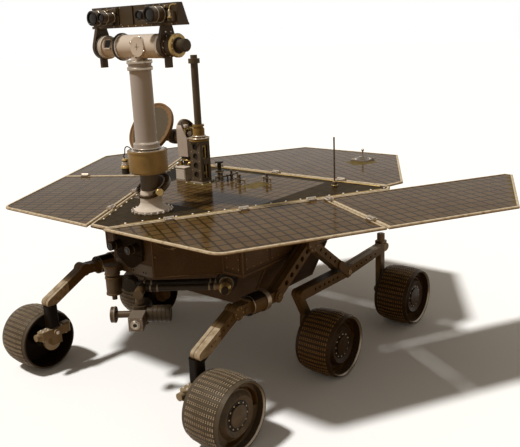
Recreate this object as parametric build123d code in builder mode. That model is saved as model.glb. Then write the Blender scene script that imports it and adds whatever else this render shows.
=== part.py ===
from build123d import *
import os
from math import atan2, cos, degrees, radians, sin, tan

# Six-wheeled planetary rover. Millimetres, +Z up, front toward -Y, the rover's left toward +X.
# The origin is on the ground, under the middle of the rover's overall box.

# Wheels
wheel_radius = 130.0
wheel_width = 160.0
wheel_edge_radius = 121.0
wheel_skin_radius = 114.0
wheel_offset = 115.0
wheel_rib_count = 40
wheel_rib_width = 8.0
wheel_rib_height = 2.6
wheel_rib_end = 1.2
crown_half = 26.0
band_half = 64.0
band_radius = 124.4
rim_lip = 3.0
rim_bevel = 6.0
front_axle_y = -760.0
middle_axle_y = -128.0
rear_axle_y = 489.0
web_thickness = 32.0
web_recess = 30.0
disc_radius = 84.0
disc_ridge_radius = 70.0
disc_ridge_recess = 14.0
hub_radius = 52.0
hub_recess = 22.0
cap_radius = 39.0
cap_height = 6.0
cap_crown = 3.0
hub_boss_radius = 38.0
hub_boss_length = 51.0
pocket_count = 3
pocket_turn = 75.0
pocket_sweep = 80.0
pocket_depth = 22.0
pocket_inner_radius = 88.0
pocket_narrow_radius = 93.0
pocket_outer_radius = 111.0
axle_radius = 14.0
axle_end_gap = 3.0
shaft_clearance = 0.08
bore_end_gap = 1.0

# Steering
steer_inset = 12.0
spindle_radius = 12.0
spindle_length = 34.0
housing_side = 46.0
housing_round = 12.0
front_housing_bottom = 204.0
front_housing_top = 292.0
rear_housing_bottom = 322.0
rear_housing_top = 372.0
steer_gap = 5.0
rear_cap_radius = 18.0
rear_cap_height = 34.0
gearbox_length = 150.0
gearbox_width = 34.0
gearbox_height = 36.0
gearbox_bevel = 11.0
gearbox_boss_radius = 15.0
gearbox_boss_height = 9.0
gearbox_pad_start = 40.0
gearbox_pad_length = 30.0
gearbox_pad_height = 7.0
wheel_motor_radius = 14.0
wheel_motor_length = 24.0
leg_round = 8.5
flange_radius = 37.0
flange_thickness = 14.0
wheel_side_gap = 10.0
strut_width = 30.0
shin_radius = 17.0

# Suspension arms, with their side-view points as Y and Z
arm_body_gap = 18.0
arm_plane_width = 44.0
main_pivot = (-110.0, 525.0)
knee = (-343.0, 380.0)
front_joint = (-573.0, 394.0)
front_arm_end = (-757.0, 304.0)
bogie_pivot = (152.0, 325.0)
bogie_elbow = (-176.0, 328.0)
bogie_shin = (-122.0, 226.0)
main_boss_radius = 36.0
knee_boss_radius = 24.0
joint_boss_radius = 26.0
front_strut_radius = 23.0
rear_strut_radius = 20.0
front_arm_radius = 20.0
bogie_arm_radius = 21.0
bogie_boss_radius = 26.0
pivot_pin_radius = 12.0
strut_share = 0.76
fold_motor_share = 0.26
cheek_thickness = 7.0
fold_motor_radius = 38.0
fold_motor_length = 96.0
main_axle_radius = 28.0
strut_pocket_depth = 26.0
strut_pocket_radius = 11.0
rear_pocket_radius = 7.0
slot_size = 11.0
small_slot_size = 7.0
knee_cap_radius = 15.0
knee_cap_height = 4.0
fold_ring_radius = 41.0
fold_ring_length = 24.0
pocket_overrun = 12.0
front_strut_shares = (0.24, 0.39, 0.54, 0.69, 0.84)
rear_strut_shares = (0.22, 0.35, 0.48, 0.61)
front_arm_shares = (0.18, 0.3, 0.42, 0.54, 0.66, 0.78)
bogie_front_shares = (0.24, 0.34, 0.44, 0.54, 0.64, 0.74)
bogie_rear_shares = (0.2, 0.32, 0.44, 0.56, 0.68)

# Body
body_half_width = 385.0
body_front_y = -465.0
body_back_y = 130.0
body_tail_y = 205.0
body_tail_half = 250.0
body_bottom = 475.0
nose_front_y = -645.0
nose_half_front = 105.0
nose_half_back = 290.0
belly_bottom = 300.0
belly_front_y = -340.0
belly_back_y = 100.0
belly_inset = 7.0
belly_taper = 83.0
belly_top_half = body_half_width - belly_inset
belly_half_width = belly_top_half - belly_taper

# Deck and solar panels
deck_top = 700.0
deck_thickness = 14.0
frame_height = 10.0
frame_width = 10.0
frame_round = 4.4
sheet_recess = 2.0
sheet_relief = 3.0
hinge_gap = 8.0
sweep_angle = 30.0
hinge_line_x = 505.8
nose_edge_y = -788.0
deck_rear_y = 244.0
deck_corner_cut = 48.0
wing_front_y = -805.0
wing_width = 466.0
wing_corner_radius = 60.0
cross_hinge_y = -57.0
wing_end_outer = 540.0
wing_end_inner = 877.0
wing_tip_cut = 33.0
wing_tip_setback = 15.0
tail_front_y = 252.0
tail_rear_y = 890.0
tail_rear_half = 286.0
tail_cut_y = 348.0
tail_front_half = 575.0
hinge_length = 34.0
hinge_span = 30.0
hinge_plate = 4.0
hinge_barrel_radius = 6.0

# Camera mast
mast_x = 0.0
mast_y = -530.0
dome_flange_radius = 68.0
dome_flange_height = 9.0
dome_flare_height = 28.0
dome_radius = 42.0
dome_rise = 100.0
mast_ring_radius = 70.0
mast_ring_thickness = 14.0
mast_ring_rise = 92.0
mast_ring_rim = 6.0
mast_ring_inner = 50.0
mast_ring_recess = 5.0
mast_ring_tilt = 32.0
mast_ring_setback = 16.0
mast_foot_radius = 36.0
drive_radius = 73.0
drive_rise = 146.0
drive_height = 86.0
drive_lid_radius = 75.0
drive_lid_height = 6.0
drive_foot_radius = 64.0
drive_foot_height = 8.0
mast_gap = 5.0
mast_spigot_radius = 30.0
mast_spigot_length = 30.0
mast_collar_radius = 49.0
mast_collar_height = 20.0
mast_radius = 40.0
mast_length = 285.0
mast_band_radius = 46.0
mast_band_height = 36.0
mast_band_groove = 10.0
mast_groove_radius = 42.0
mast_neck_radius = 30.0
tilt_rise = 47.0
cross_tube_radius = 42.0
cross_flange_x = -72.0
cross_flange_radius = 44.0
cross_flange_width = 14.0
cross_slim_radius = 36.0
cross_end_width = 26.0
tilt_cap_x = 46.0
tilt_cap_radius = 34.0
tilt_cap_reach = 48.0
cross_tube_right = -185.0
cross_tube_left = 138.0
cross_gap = 6.0
tilt_pin_radius = 10.0
tilt_pin_depth = 24.0

# Camera head
bar_half_length = 225.0
bar_rise = 67.0
bar_height = 74.0
bar_thickness = 22.0
bar_plate = 8.0
bar_flange = 7.0
bar_rib_width = 4.0
bar_rib_depth = 5.0
bar_rail_height = 9.0
bar_rail_depth = 7.0
bar_back_depth = 50.0
bar_gusset_top = 14.0
bar_rib_shares = (-0.34, 0.0, 0.34)
bar_gusset_shares = (-1.0, -0.34, 0.0, 0.34, 1.0)
bracket_thickness = 14.0
bracket_round = 42.0
lug_half_width = 13.0
lug_drop = 74.0
tilt_ring_radius = 42.0
tilt_ring_length = 8.0
tilt_motor_radius = 34.0
tilt_motor_end = 205.0
tilt_stub_radius = 20.0
tilt_stub_end = 245.0
pan_camera_x = 150.0
nav_camera_x = 100.0
pan_camera_radius = 26.0
nav_camera_radius = 17.0
camera_length = 62.0
camera_back = 28.0

# Low gain antenna
tower_x = -183.0
tower_y = -61.0
tower_side = 62.0
tower_rise = 184.0
tower_wall = 5.0
tower_foot_side = 74.0
tower_foot_height = 6.0
tower_hole_radius = 15.0
tower_slot_width = 30.0
tower_slot_height = 62.0
tower_hole_shares = (0.2, 0.42, 0.64, 0.86)
tower_slot_shares = (0.28, 0.74)
tower_flange_radius = 45.0
tower_flange_height = 14.0
pole_collar_radius = 26.0
pole_collar_height = 57.0
pole_collar_groove = 8.0
pole_radius = 16.0
pole_length = 262.0
pole_cap_radius = 25.0
pole_cap_height = 20.0
pole_tip_radius = 15.0
pole_tip_height = 15.0

# High gain antenna
dish_inset = 95.0
dish_mast_y = -20.0
dish_post_radius = 30.0
dish_post_rise = 100.0
dish_base_radius = 44.0
dish_base_height = 8.0
dish_collar_radius = 38.0
dish_collar_height = 16.0
dish_box_length = 58.0
dish_box_depth = 40.0
dish_box_height = 58.0
dish_box_shift = 46.0
dish_axis_rise = 85.0
hood_width = 62.0
hood_depth = 84.0
hood_wall = 4.0
hood_floor = 12.0
hood_low_rise = 84.0
hood_high_rise = 168.0
hood_lip = 14.0
hood_drum_radius = 22.0
hood_drum_length = 30.0
gimbal_ring_radius = 34.0
gimbal_ring_length = 16.0
gimbal_ring_shares = (0.12, 0.6)
dish_arm_radius = 30.0
dish_arm_length = 78.0
dish_radius = 128.0
dish_thickness = 16.0
dish_offset = 62.0
dish_side = 180.0
dish_rest_tilt = 34.0
dish_hub_radius = 24.0
dish_rim_width = 9.0
dish_rim_height = 3.0
dish_back_radius = 52.0
dish_back_height = 12.0
dish_strut_radius = 14.0
dish_gap = 5.0
dish_spindle_radius = 12.0
dish_spindle_length = 40.0

# Whip antenna and sundial
whip_outset = 11.0
whip_y = 132.0
whip_radius = 3.5
whip_rise = 207.0
whip_base_radius = 11.0
whip_base_height = 22.0
sundial_x = 198.0
sundial_y = 692.0
sundial_side = 84.0
sundial_thickness = 8.0
sundial_post_radius = 4.0
sundial_ball_radius = 7.0
sundial_rise = 57.0

# Instrument arm, folded under the nose: U runs along the folded arm, V across it
shoulder_x = -90.0
shoulder_y = -680.0
arm_heading = 37.2
arm_z = 425.0
shoulder_radius = 28.0
shoulder_bottom = 388.0
shoulder_top = 462.0
shoulder_stub_radius = 10.0
shoulder_stub_height = 22.0
mount_cup_top = 506.0
mount_bottom = 467.0
mount_half_width = 34.0
shoulder_pin_radius = 9.0
shoulder_pin_length = 26.0
lift_u = 64.0
lift_radius = 26.0
lift_half_width = 18.0
lift_cheek = 12.0
elbow_u = 437.0
elbow_radius = 38.0
elbow_half_width = 16.0
upper_arm_radius = 13.0
forearm_v = 52.0
forearm_radius = 12.0
elbow_motor_radius = 24.0
elbow_motor_end = 80.0
elbow_knob_radius = 14.0
elbow_knob_end = 106.0
wrist_u = 118.0
wrist_radius = 18.0
wrist_half_width = 14.0
wrist_cap_end = 120.0
turret_v = 100.0
arm_gap = 5.0
arm_pin_radius = 8.0
turret_housing_bottom = 386.0
turret_housing_radius = 15.0
turret_top = 380.0
turret_bottom = 306.0
turret_radius = 27.0
turret_spindle_radius = 8.0
turret_spindle_length = 16.0
grinder_radius = 31.0
grinder_reach = 112.0
contact_radius = 30.0
contact_reach = 110.0
contact_thickness = 18.0
contact_neck_radius = 13.0
microscope_side = 52.0
microscope_reach = 100.0
port_radius = 14.0
port_height = 8.0
sensor_radius = 24.0
sensor_reach = 104.0

# Hazard cameras
hazard_x = -10.0
hazard_baseline = 100.0
hazard_z = 590.0
hazard_camera_radius = 17.0
hazard_camera_length = 46.0
hazard_plate_length = 150.0
hazard_plate_thickness = 12.0
hazard_plate_height = 62.0

arm_plane_inner = body_half_width + arm_body_gap
steer_x = arm_plane_inner + steer_inset
wheel_place_x = steer_x + wheel_offset
wheel_inner_x = wheel_place_x - wheel_width / 2
wheel_outer_x = wheel_place_x + wheel_width / 2
web_outer_x = wheel_outer_x - web_recess
web_inner_x = web_outer_x - web_thickness
hub_inner_x = web_inner_x - hub_boss_length
deck_sheet_top = deck_top - sheet_recess
dome_top = deck_top + dome_rise
mast_ring_z = deck_top + mast_ring_rise
drive_bottom = deck_top + drive_rise
drive_top = drive_bottom + drive_height
mast_collar_bottom = drive_top + mast_gap
mast_top = mast_collar_bottom + mast_length
tilt_axis_z = mast_top + mast_band_height + tilt_rise
bar_bottom = tilt_axis_z + bar_rise
bar_top = bar_bottom + bar_height
camera_z = (bar_bottom + bar_top) / 2
tower_top = deck_top + tower_rise
pole_collar_top = tower_top + tower_flange_height + pole_collar_height
pole_top = pole_collar_top + pole_length
dish_mast_x = dish_inset - body_half_width
dish_post_top = deck_top + dish_post_rise
dish_axis_z = dish_post_top + dish_axis_rise
hood_low_top = dish_post_top + hood_low_rise
hood_high_top = dish_post_top + hood_high_rise
whip_x = body_half_width + whip_outset
whip_top = deck_top + whip_rise
sundial_top = deck_top + sundial_rise
steered = (("front", front_axle_y), ("rear", rear_axle_y))
sides = (("left", 1), ("right", -1))

os.makedirs("parts", exist_ok=True)


def save(node, name):
    node.part.label = name
    export_step(node.part, "parts/" + name + ".step")


def side_plane(side, x):
    """A plane across the rover at x on one side, with local axes Y and Z, facing outboard."""
    return Plane(origin=(side * x, 0, 0), x_dir=(0, side, 0), z_dir=(side, 0, 0))


def link(side, x, width, start, start_radius, end, end_radius):
    """A round-ended link between two side-view points, from x outboard by its width."""
    with BuildSketch(side_plane(side, x)) as outline:
        for point, radius in ((start, start_radius), (end, end_radius)):
            with Locations((side * point[0], point[1])):
                Circle(radius)
        make_hull()
    extrude(outline.sketch, amount=width)


def side_disc(side, x, width, point, radius, mode=Mode.ADD):
    """A disc or a bore along X around one side-view point."""
    with BuildSketch(side_plane(side, x)) as outline:
        with Locations((side * point[0], point[1])):
            Circle(radius)
    extrude(outline.sketch, amount=width, mode=mode)


def between(start, end, share):
    """The point at a share of the way from one side-view point to another."""
    return tuple(a + (b - a) * share for a, b in zip(start, end))


def round_pockets(side, start, end, shares, radius):
    """Round lightening pockets in the outer face of a strut."""
    floor_x = arm_plane_inner + arm_plane_width - strut_pocket_depth
    for share in shares:
        side_disc(side, floor_x, strut_pocket_depth + pocket_overrun, between(start, end, share), radius,
                  mode=Mode.SUBTRACT)


def square_pockets(side, start, end, shares, size):
    """Square lightening pockets in the outer face of a strut, in line with it."""
    floor_x = arm_plane_inner + arm_plane_width - strut_pocket_depth
    turn = degrees(atan2(end[1] - start[1], side * (end[0] - start[0])))
    with BuildSketch(side_plane(side, floor_x)) as outline:
        for share in shares:
            point = between(start, end, share)
            with Locations((side * point[0], point[1])):
                Rectangle(size, size, rotation=turn)
    extrude(outline.sketch, amount=strut_pocket_depth + pocket_overrun, mode=Mode.SUBTRACT)


def upright(x, y, low, high, radius, mode=Mode.ADD):
    """A vertical cylinder or bore."""
    with BuildSketch(Plane.XY.offset(low)) as outline:
        with Locations((x, y)):
            Circle(radius)
    extrude(outline.sketch, amount=high - low, mode=mode)


def block(x, y, low, high, length, depth, corner=0.0):
    """A vertical block, with its upright corners rounded."""
    with BuildSketch(Plane.XY.offset(low)) as outline:
        with Locations((x, y)):
            if corner:
                RectangleRounded(length, depth, corner)
            else:
                Rectangle(length, depth)
    extrude(outline.sketch, amount=high - low)


def rod(start, direction, length, radius, mode=Mode.ADD):
    """A cylinder from a point along a direction."""
    with BuildSketch(Plane(origin=start, z_dir=direction)) as outline:
        Circle(radius)
    extrude(outline.sketch, amount=length, mode=mode)


def panel(name, points, depth, relief, rounded=()):
    """A flat sheet in a tubular frame. Points listed in rounded get the wing's large corner."""
    with BuildPart() as node:
        with BuildSketch(Plane.XY.offset(deck_top - depth)) as outline:
            with BuildLine():
                Polyline(*points, close=True)
            make_face()
            for point in rounded:
                fillet(outline.vertices().sort_by_distance((*point, 0))[0], wing_corner_radius)
        with BuildSketch(Plane.XY.offset(deck_top - depth)) as inside:
            add(outline.sketch_local)
            offset(amount=-frame_width, kind=Kind.INTERSECTION, mode=Mode.REPLACE)
        extrude(outline.sketch, amount=depth)
        fillet(node.faces().filter_by(Axis.Z).edges(), frame_round)
        well = inside.sketch.moved(Location((0, 0, depth - sheet_recess)))
        extrude(well, amount=sheet_recess, mode=Mode.SUBTRACT)
        if relief:
            extrude(inside.sketch, amount=relief, mode=Mode.SUBTRACT)
    save(node, name)


def hinge_x(y, gap_side):
    """X of a sweep edge at y, half the hinge gap inboard (-1) or outboard (+1) of the hinge line."""
    half_gap = hinge_gap / 2 / cos(radians(sweep_angle))
    return hinge_line_x + tan(radians(sweep_angle)) * y + gap_side * half_gap


def wing_point(along, across):
    """A point of the left wing, measured from the cross hinge along and across the sweep line."""
    s = sin(radians(sweep_angle))
    c = cos(radians(sweep_angle))
    x = hinge_x(cross_hinge_y, 0) + along * s + across * c
    return (x, cross_hinge_y + along * c - across * s)


def mirrored(points):
    return [(-x, y) for x, y in reversed(points)]


def arm_point(u, v, z):
    """A point in the folded arm's own frame."""
    c = cos(radians(arm_heading))
    s = sin(radians(arm_heading))
    return (shoulder_x + u * c + v * s, shoulder_y + u * s - v * c, z)


arm_along = (cos(radians(arm_heading)), sin(radians(arm_heading)), 0)
arm_across = (sin(radians(arm_heading)), -cos(radians(arm_heading)), 0)


# Wheels: a crowned, ribbed drum round a dished disc, with spiral pockets between disc and rim
def polar(radius, turn):
    return (radius * cos(radians(turn)), radius * sin(radians(turn)))


rib_top_radius = wheel_radius
valley_radius = wheel_radius - wheel_rib_height
hub_face_x = wheel_outer_x - hub_recess
cap_x = hub_face_x + cap_height
bore_radius = axle_radius + shaft_clearance

with BuildPart() as wheel_rib:
    with BuildSketch(Plane.XZ) as profile:
        with BuildLine():
            Polyline(
                (wheel_place_x - band_half, wheel_skin_radius),
                (wheel_place_x - band_half, band_radius + wheel_rib_end),
                (wheel_place_x - crown_half, rib_top_radius),
                (wheel_place_x + crown_half, rib_top_radius),
                (wheel_place_x + band_half, band_radius + wheel_rib_end),
                (wheel_place_x + band_half, wheel_skin_radius),
                close=True,
            )
        make_face()
    extrude(profile.sketch, amount=wheel_rib_width / 2, both=True)

with BuildPart() as wheel:
    with BuildSketch(Plane.XZ) as profile:
        with BuildLine():
            Polyline(
                (wheel_inner_x, wheel_edge_radius),
                (wheel_place_x - band_half, band_radius),
                (wheel_place_x - crown_half, valley_radius),
                (wheel_place_x + crown_half, valley_radius),
                (wheel_place_x + band_half, band_radius),
                (wheel_outer_x, wheel_edge_radius),
                (wheel_outer_x, wheel_edge_radius - rim_lip),
                (wheel_outer_x - rim_bevel, wheel_skin_radius),
                (web_outer_x, wheel_skin_radius),
                (web_outer_x, disc_radius),
                (wheel_outer_x - disc_ridge_recess, disc_ridge_radius),
                (hub_face_x, hub_radius),
                (hub_face_x, cap_radius),
                (cap_x, cap_radius),
                (cap_x + cap_crown, 0),
                (web_inner_x, 0),
                (web_inner_x, bore_radius),
                (hub_inner_x, bore_radius),
                (hub_inner_x, hub_boss_radius),
                (web_inner_x, hub_boss_radius),
                (web_inner_x, wheel_skin_radius),
                (wheel_inner_x, wheel_skin_radius),
                close=True,
            )
        make_face()
    revolve(profile.sketch, axis=Axis.X)
    add([wheel_rib.part.rotate(Axis.X, step * 360 / wheel_rib_count) for step in range(wheel_rib_count)])
    with BuildSketch(side_plane(1, web_outer_x)) as pockets:
        for step in range(pocket_count):
            narrow = pocket_turn + step * 360 / pocket_count
            middle = narrow - pocket_sweep / 2
            wide = narrow - pocket_sweep
            middle_radius = (pocket_narrow_radius + pocket_outer_radius) / 2
            with BuildLine():
                ThreePointArc(
                    polar(pocket_inner_radius, narrow),
                    polar(pocket_inner_radius, middle),
                    polar(pocket_inner_radius, wide),
                )
                Line(polar(pocket_inner_radius, wide), polar(pocket_outer_radius, wide))
                ThreePointArc(
                    polar(pocket_outer_radius, wide),
                    polar(middle_radius, middle),
                    polar(pocket_narrow_radius, narrow),
                )
                Line(polar(pocket_narrow_radius, narrow), polar(pocket_inner_radius, narrow))
            make_face()
    extrude(pockets.sketch, amount=-pocket_depth, mode=Mode.SUBTRACT)


def axle(side, axle_y):
    """The flange and the axle that a wheel turns on, in the open part."""
    flange_x = wheel_inner_x - wheel_side_gap - flange_thickness
    tip_x = web_inner_x - axle_end_gap
    side_disc(side, flange_x, flange_thickness, (axle_y, wheel_radius), flange_radius)
    side_disc(side, flange_x, tip_x - flange_x, (axle_y, wheel_radius), axle_radius)


for axle_name, axle_y in (("front", front_axle_y), ("middle", middle_axle_y), ("rear", rear_axle_y)):
    placed = wheel.part.moved(Location((0, axle_y, wheel_radius)))
    for side_name, side in sides:
        with BuildPart() as node:
            add(placed if side > 0 else placed.mirror(Plane.YZ))
        save(node, "wheel_" + axle_name + "_" + side_name)

# Steering knuckles: a spindle up into the arm, a leg inboard of the wheel, and the axle
for side_name, side in sides:
    flange_inner_x = wheel_inner_x - wheel_side_gap - flange_thickness
    gearbox_top = front_housing_bottom - steer_gap
    with BuildPart() as knuckle:
        axle(side, front_axle_y)
        leg_x = side * (flange_inner_x - gearbox_width / 2)
        gearbox_bottom = gearbox_top - gearbox_height
        gearbox_mid = (gearbox_bottom + gearbox_top) / 2
        with BuildSketch(Plane.XY.offset(gearbox_bottom)) as plan:
            with Locations((leg_x, front_axle_y)):
                Rectangle(gearbox_width, gearbox_length)
            chamfer(plan.vertices(), gearbox_bevel)
        extrude(plan.sketch, amount=gearbox_height)
        block(leg_x, front_axle_y, wheel_radius, gearbox_bottom, gearbox_width, housing_side)
        # The raised lid behind the steering axis, the boss inboard and the motor ahead
        lid_y = front_axle_y + gearbox_pad_start + gearbox_pad_length / 2
        block(leg_x, lid_y, gearbox_top, gearbox_top + gearbox_pad_height,
              gearbox_width - gearbox_bevel, gearbox_pad_length)
        side_disc(side, flange_inner_x - gearbox_width - gearbox_boss_height, gearbox_width,
                  (front_axle_y, gearbox_mid), gearbox_boss_radius)
        rod((leg_x, front_axle_y - gearbox_length / 2 + gearbox_bevel, gearbox_mid), (0, -1, 0),
            wheel_motor_length, wheel_motor_radius)
        spindle_top = front_housing_bottom + spindle_length - bore_end_gap
        upright(side * steer_x, front_axle_y, gearbox_bottom, spindle_top, spindle_radius)
    save(knuckle, "knuckle_front_" + side_name)
    with BuildPart() as knuckle:
        axle(side, rear_axle_y)
        leg_top = rear_housing_bottom - steer_gap
        leg_x = side * (flange_inner_x - strut_width / 2)
        block(leg_x, rear_axle_y, wheel_radius, leg_top, strut_width, housing_side, leg_round)
        side_disc(side, flange_inner_x - strut_width - gearbox_boss_height, strut_width,
                  (rear_axle_y, wheel_radius), gearbox_boss_radius)
        spindle_top = rear_housing_bottom + spindle_length - bore_end_gap
        upright(side * steer_x, rear_axle_y, leg_top - steer_gap, spindle_top, spindle_radius)
    save(knuckle, "knuckle_rear_" + side_name)

# Rockers: a forked strut from the main pivot to the knee and to the bogie, then the front arm
for side_name, side in sides:
    outer_x = arm_plane_inner + arm_plane_width
    with BuildPart() as rocker:
        link(side, arm_plane_inner, arm_plane_width, main_pivot, front_strut_radius, knee, front_strut_radius)
        rear_end = between(main_pivot, bogie_pivot, strut_share)
        link(side, arm_plane_inner, arm_plane_width, main_pivot, rear_strut_radius, rear_end, rear_strut_radius)
        side_disc(side, arm_plane_inner, arm_plane_width + cheek_thickness, main_pivot, main_boss_radius)
        side_disc(side, arm_plane_inner, arm_plane_width + cheek_thickness, knee, knee_boss_radius)
        side_disc(side, outer_x, cheek_thickness + knee_cap_height, knee, knee_cap_radius)
        link(side, arm_plane_inner, arm_plane_width, knee, front_arm_radius, front_joint, front_arm_radius)
        side_disc(side, arm_plane_inner, arm_plane_width + cheek_thickness, front_joint, joint_boss_radius)
        link(side, arm_plane_inner, arm_plane_width, front_joint, front_arm_radius,
             front_arm_end, front_arm_radius)
        # Cheeks either side of the bogie boss, on the bogie pin
        for cheek_x in (arm_plane_inner - cheek_thickness, outer_x):
            link(side, cheek_x, cheek_thickness, rear_end, rear_strut_radius, bogie_pivot, rear_strut_radius)
        side_disc(side, arm_plane_inner - cheek_thickness, arm_plane_width + cheek_thickness * 2,
                  bogie_pivot, pivot_pin_radius)
        block(side * steer_x, front_axle_y, front_housing_bottom, front_housing_top,
              housing_side, housing_side, housing_round)
        upright(side * steer_x, front_axle_y, front_housing_bottom, front_housing_bottom + spindle_length,
                spindle_radius + shaft_clearance, mode=Mode.SUBTRACT)
        # The fold motor between knee and front joint, and the axle into the body
        motor_start = (side * (arm_plane_inner + arm_plane_width / 2), knee[0], knee[1])
        run = (0, front_joint[0] - knee[0], front_joint[1] - knee[1])
        motor_at = tuple(a + b * fold_motor_share for a, b in zip(motor_start, run))
        rod(motor_at, run, fold_motor_length, fold_motor_radius)
        rod(motor_at, run, fold_ring_length, fold_ring_radius)
        side_disc(side, body_half_width, arm_plane_inner - body_half_width, main_pivot, main_axle_radius)
        round_pockets(side, knee, main_pivot, front_strut_shares, strut_pocket_radius)
        round_pockets(side, main_pivot, bogie_pivot, rear_strut_shares, rear_pocket_radius)
        square_pockets(side, front_joint, front_arm_end, front_arm_shares, small_slot_size)
    save(rocker, "rocker_" + side_name)

# Bogies: one boss on the rocker's pin, an arm and leg to the middle wheel, an arm to the rear
for side_name, side in sides:
    with BuildPart() as bogie:
        rear_arm_end = (rear_axle_y, (rear_housing_bottom + rear_housing_top) / 2)
        link(side, arm_plane_inner, arm_plane_width, bogie_pivot, bogie_arm_radius, bogie_elbow, bogie_arm_radius)
        link(side, arm_plane_inner, arm_plane_width, bogie_pivot, bogie_arm_radius, rear_arm_end, shin_radius)
        square_pockets(side, bogie_elbow, bogie_pivot, bogie_front_shares, slot_size)
        square_pockets(side, bogie_pivot, rear_arm_end, bogie_rear_shares, slot_size)
        side_disc(side, arm_plane_inner, arm_plane_width, bogie_pivot, bogie_boss_radius)
        side_disc(side, arm_plane_inner, arm_plane_width, bogie_pivot, pivot_pin_radius + shaft_clearance,
                  mode=Mode.SUBTRACT)
        leg_x = wheel_inner_x - wheel_side_gap - flange_thickness - strut_width
        hub = (middle_axle_y, wheel_radius)
        link(side, leg_x, strut_width, bogie_elbow, shin_radius, bogie_shin, shin_radius)
        link(side, leg_x, strut_width, bogie_shin, shin_radius, hub, shin_radius)
        axle(side, middle_axle_y)
        block(side * steer_x, rear_axle_y, rear_housing_bottom, rear_housing_top,
              housing_side, housing_side, housing_round)
        upright(side * steer_x, rear_axle_y, rear_housing_top, rear_housing_top + rear_cap_height, rear_cap_radius)
        upright(side * steer_x, rear_axle_y, rear_housing_bottom, rear_housing_bottom + spindle_length,
                spindle_radius + shaft_clearance, mode=Mode.SUBTRACT)
    save(bogie, "bogie_" + side_name)

# Body: the insulated box with its tapered belly, and the nose ahead of it
with BuildPart() as body_box:
    with BuildSketch(Plane.XY.offset(body_bottom)) as plan:
        with BuildLine():
            left_side = [
                (body_half_width, body_front_y),
                (body_half_width, body_back_y),
                (body_tail_half, body_tail_y),
            ]
            Polyline(*left_side, *mirrored(left_side), close=True)
        make_face()
    extrude(plan.sketch, amount=deck_top - deck_thickness - body_bottom)
    with BuildSketch(Plane.XY.offset(belly_bottom)) as floor:
        with Locations((0, (belly_front_y + belly_back_y) / 2)):
            Rectangle(belly_half_width * 2, belly_back_y - belly_front_y)
    with BuildSketch(Plane.XY.offset(body_bottom)) as roof:
        with Locations((0, (belly_front_y + belly_back_y) / 2)):
            Rectangle(belly_top_half * 2, belly_back_y - belly_front_y)
    loft([floor.sketch.faces()[0], roof.sketch.faces()[0]], ruled=True)
save(body_box, "body_box")

with BuildPart() as nose_box:
    with BuildSketch(Plane.XY.offset(body_bottom)) as plan:
        with BuildLine():
            left_side = [(nose_half_front, nose_front_y), (nose_half_back, body_front_y)]
            Polyline(*left_side, *mirrored(left_side), close=True)
        make_face()
    extrude(plan.sketch, amount=deck_top - deck_thickness - body_bottom)
save(nose_box, "nose_box")

# Deck: a swept triangle with its nose and rear corners cut
deck_left = [
    (hinge_x(nose_edge_y, -1), nose_edge_y),
    (hinge_x(deck_rear_y - deck_corner_cut, -1), deck_rear_y - deck_corner_cut),
    (hinge_x(deck_rear_y, -1) - deck_corner_cut, deck_rear_y),
]
panel("deck", deck_left + mirrored(deck_left), deck_thickness, 0)

# Wings: an inner panel along each sweep edge, and an outer one past the cross hinge
wing_far = hinge_gap / 2 + wing_width
nose_run = (wing_front_y - cross_hinge_y + hinge_gap / 2 * sin(radians(sweep_angle)))
tip_run = (wing_front_y - cross_hinge_y + wing_far * sin(radians(sweep_angle)))
inner_wing = [
    wing_point(nose_run / cos(radians(sweep_angle)), hinge_gap / 2),
    wing_point(tip_run / cos(radians(sweep_angle)), wing_far),
    wing_point(-hinge_gap / 2, wing_far),
    wing_point(-hinge_gap / 2, hinge_gap / 2),
]
outer_wing = [
    wing_point(hinge_gap / 2, hinge_gap / 2),
    wing_point(hinge_gap / 2, wing_far),
    wing_point(wing_end_outer, wing_far),
    wing_point(wing_end_inner, hinge_gap / 2 + wing_tip_cut),
    wing_point(wing_end_inner - wing_tip_setback, hinge_gap / 2),
]
front_corner = inner_wing[1]
panel("wing_inner_left", inner_wing, frame_height, sheet_relief, [front_corner])
panel("wing_inner_right", mirrored(inner_wing), frame_height, sheet_relief,
      [(-front_corner[0], front_corner[1])])
panel("wing_outer_left", outer_wing, frame_height, sheet_relief)
panel("wing_outer_right", mirrored(outer_wing), frame_height, sheet_relief)

# Tail panel behind the deck, narrowing to the rear
tail_cut_half = tail_rear_half + tan(radians(sweep_angle)) * (tail_rear_y - tail_cut_y)
tail_left = [
    (tail_front_half, tail_front_y),
    (tail_cut_half, tail_cut_y),
    (tail_rear_half, tail_rear_y),
]
panel("tail_panel", tail_left + mirrored(tail_left), frame_height, sheet_relief)

# Panel hinges: a plate and barrel across each gap, at places along the hinge lines
sweep_hinge_shares = (0.26, 0.6, 0.93)
cross_hinge_shares = (0.07, 0.77)
rear_hinge_shares = (-0.62, 0.0, 0.62)
hinge_places = []
sweep_run = cross_hinge_y - nose_edge_y
for share in sweep_hinge_shares:
    y = nose_edge_y + sweep_run * share
    for side_name, side in sides:
        hinge_places.append((side * hinge_x(y, 0), y, 90 - side * sweep_angle))
for share in cross_hinge_shares:
    x, y = wing_point(0, hinge_gap / 2 + wing_width * share)
    for side_name, side in sides:
        hinge_places.append((side * x, y, -side * sweep_angle))
for share in rear_hinge_shares:
    hinge_places.append((share * tail_front_half, (deck_rear_y + tail_front_y) / 2, 0))
with BuildPart() as panel_hinges:
    for x, y, turn in hinge_places:
        with BuildSketch(Plane.XY.offset(deck_top)) as leaf:
            with Locations(Location((x, y), turn)):
                Rectangle(hinge_length, hinge_span)
        extrude(leaf.sketch, amount=hinge_plate)
        along = (cos(radians(turn)), sin(radians(turn)), 0)
        start = (x - along[0] * hinge_length / 2, y - along[1] * hinge_length / 2, deck_top + hinge_barrel_radius)
        rod(start, along, hinge_length, hinge_barrel_radius)
save(panel_hinges, "panel_hinges")


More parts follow.
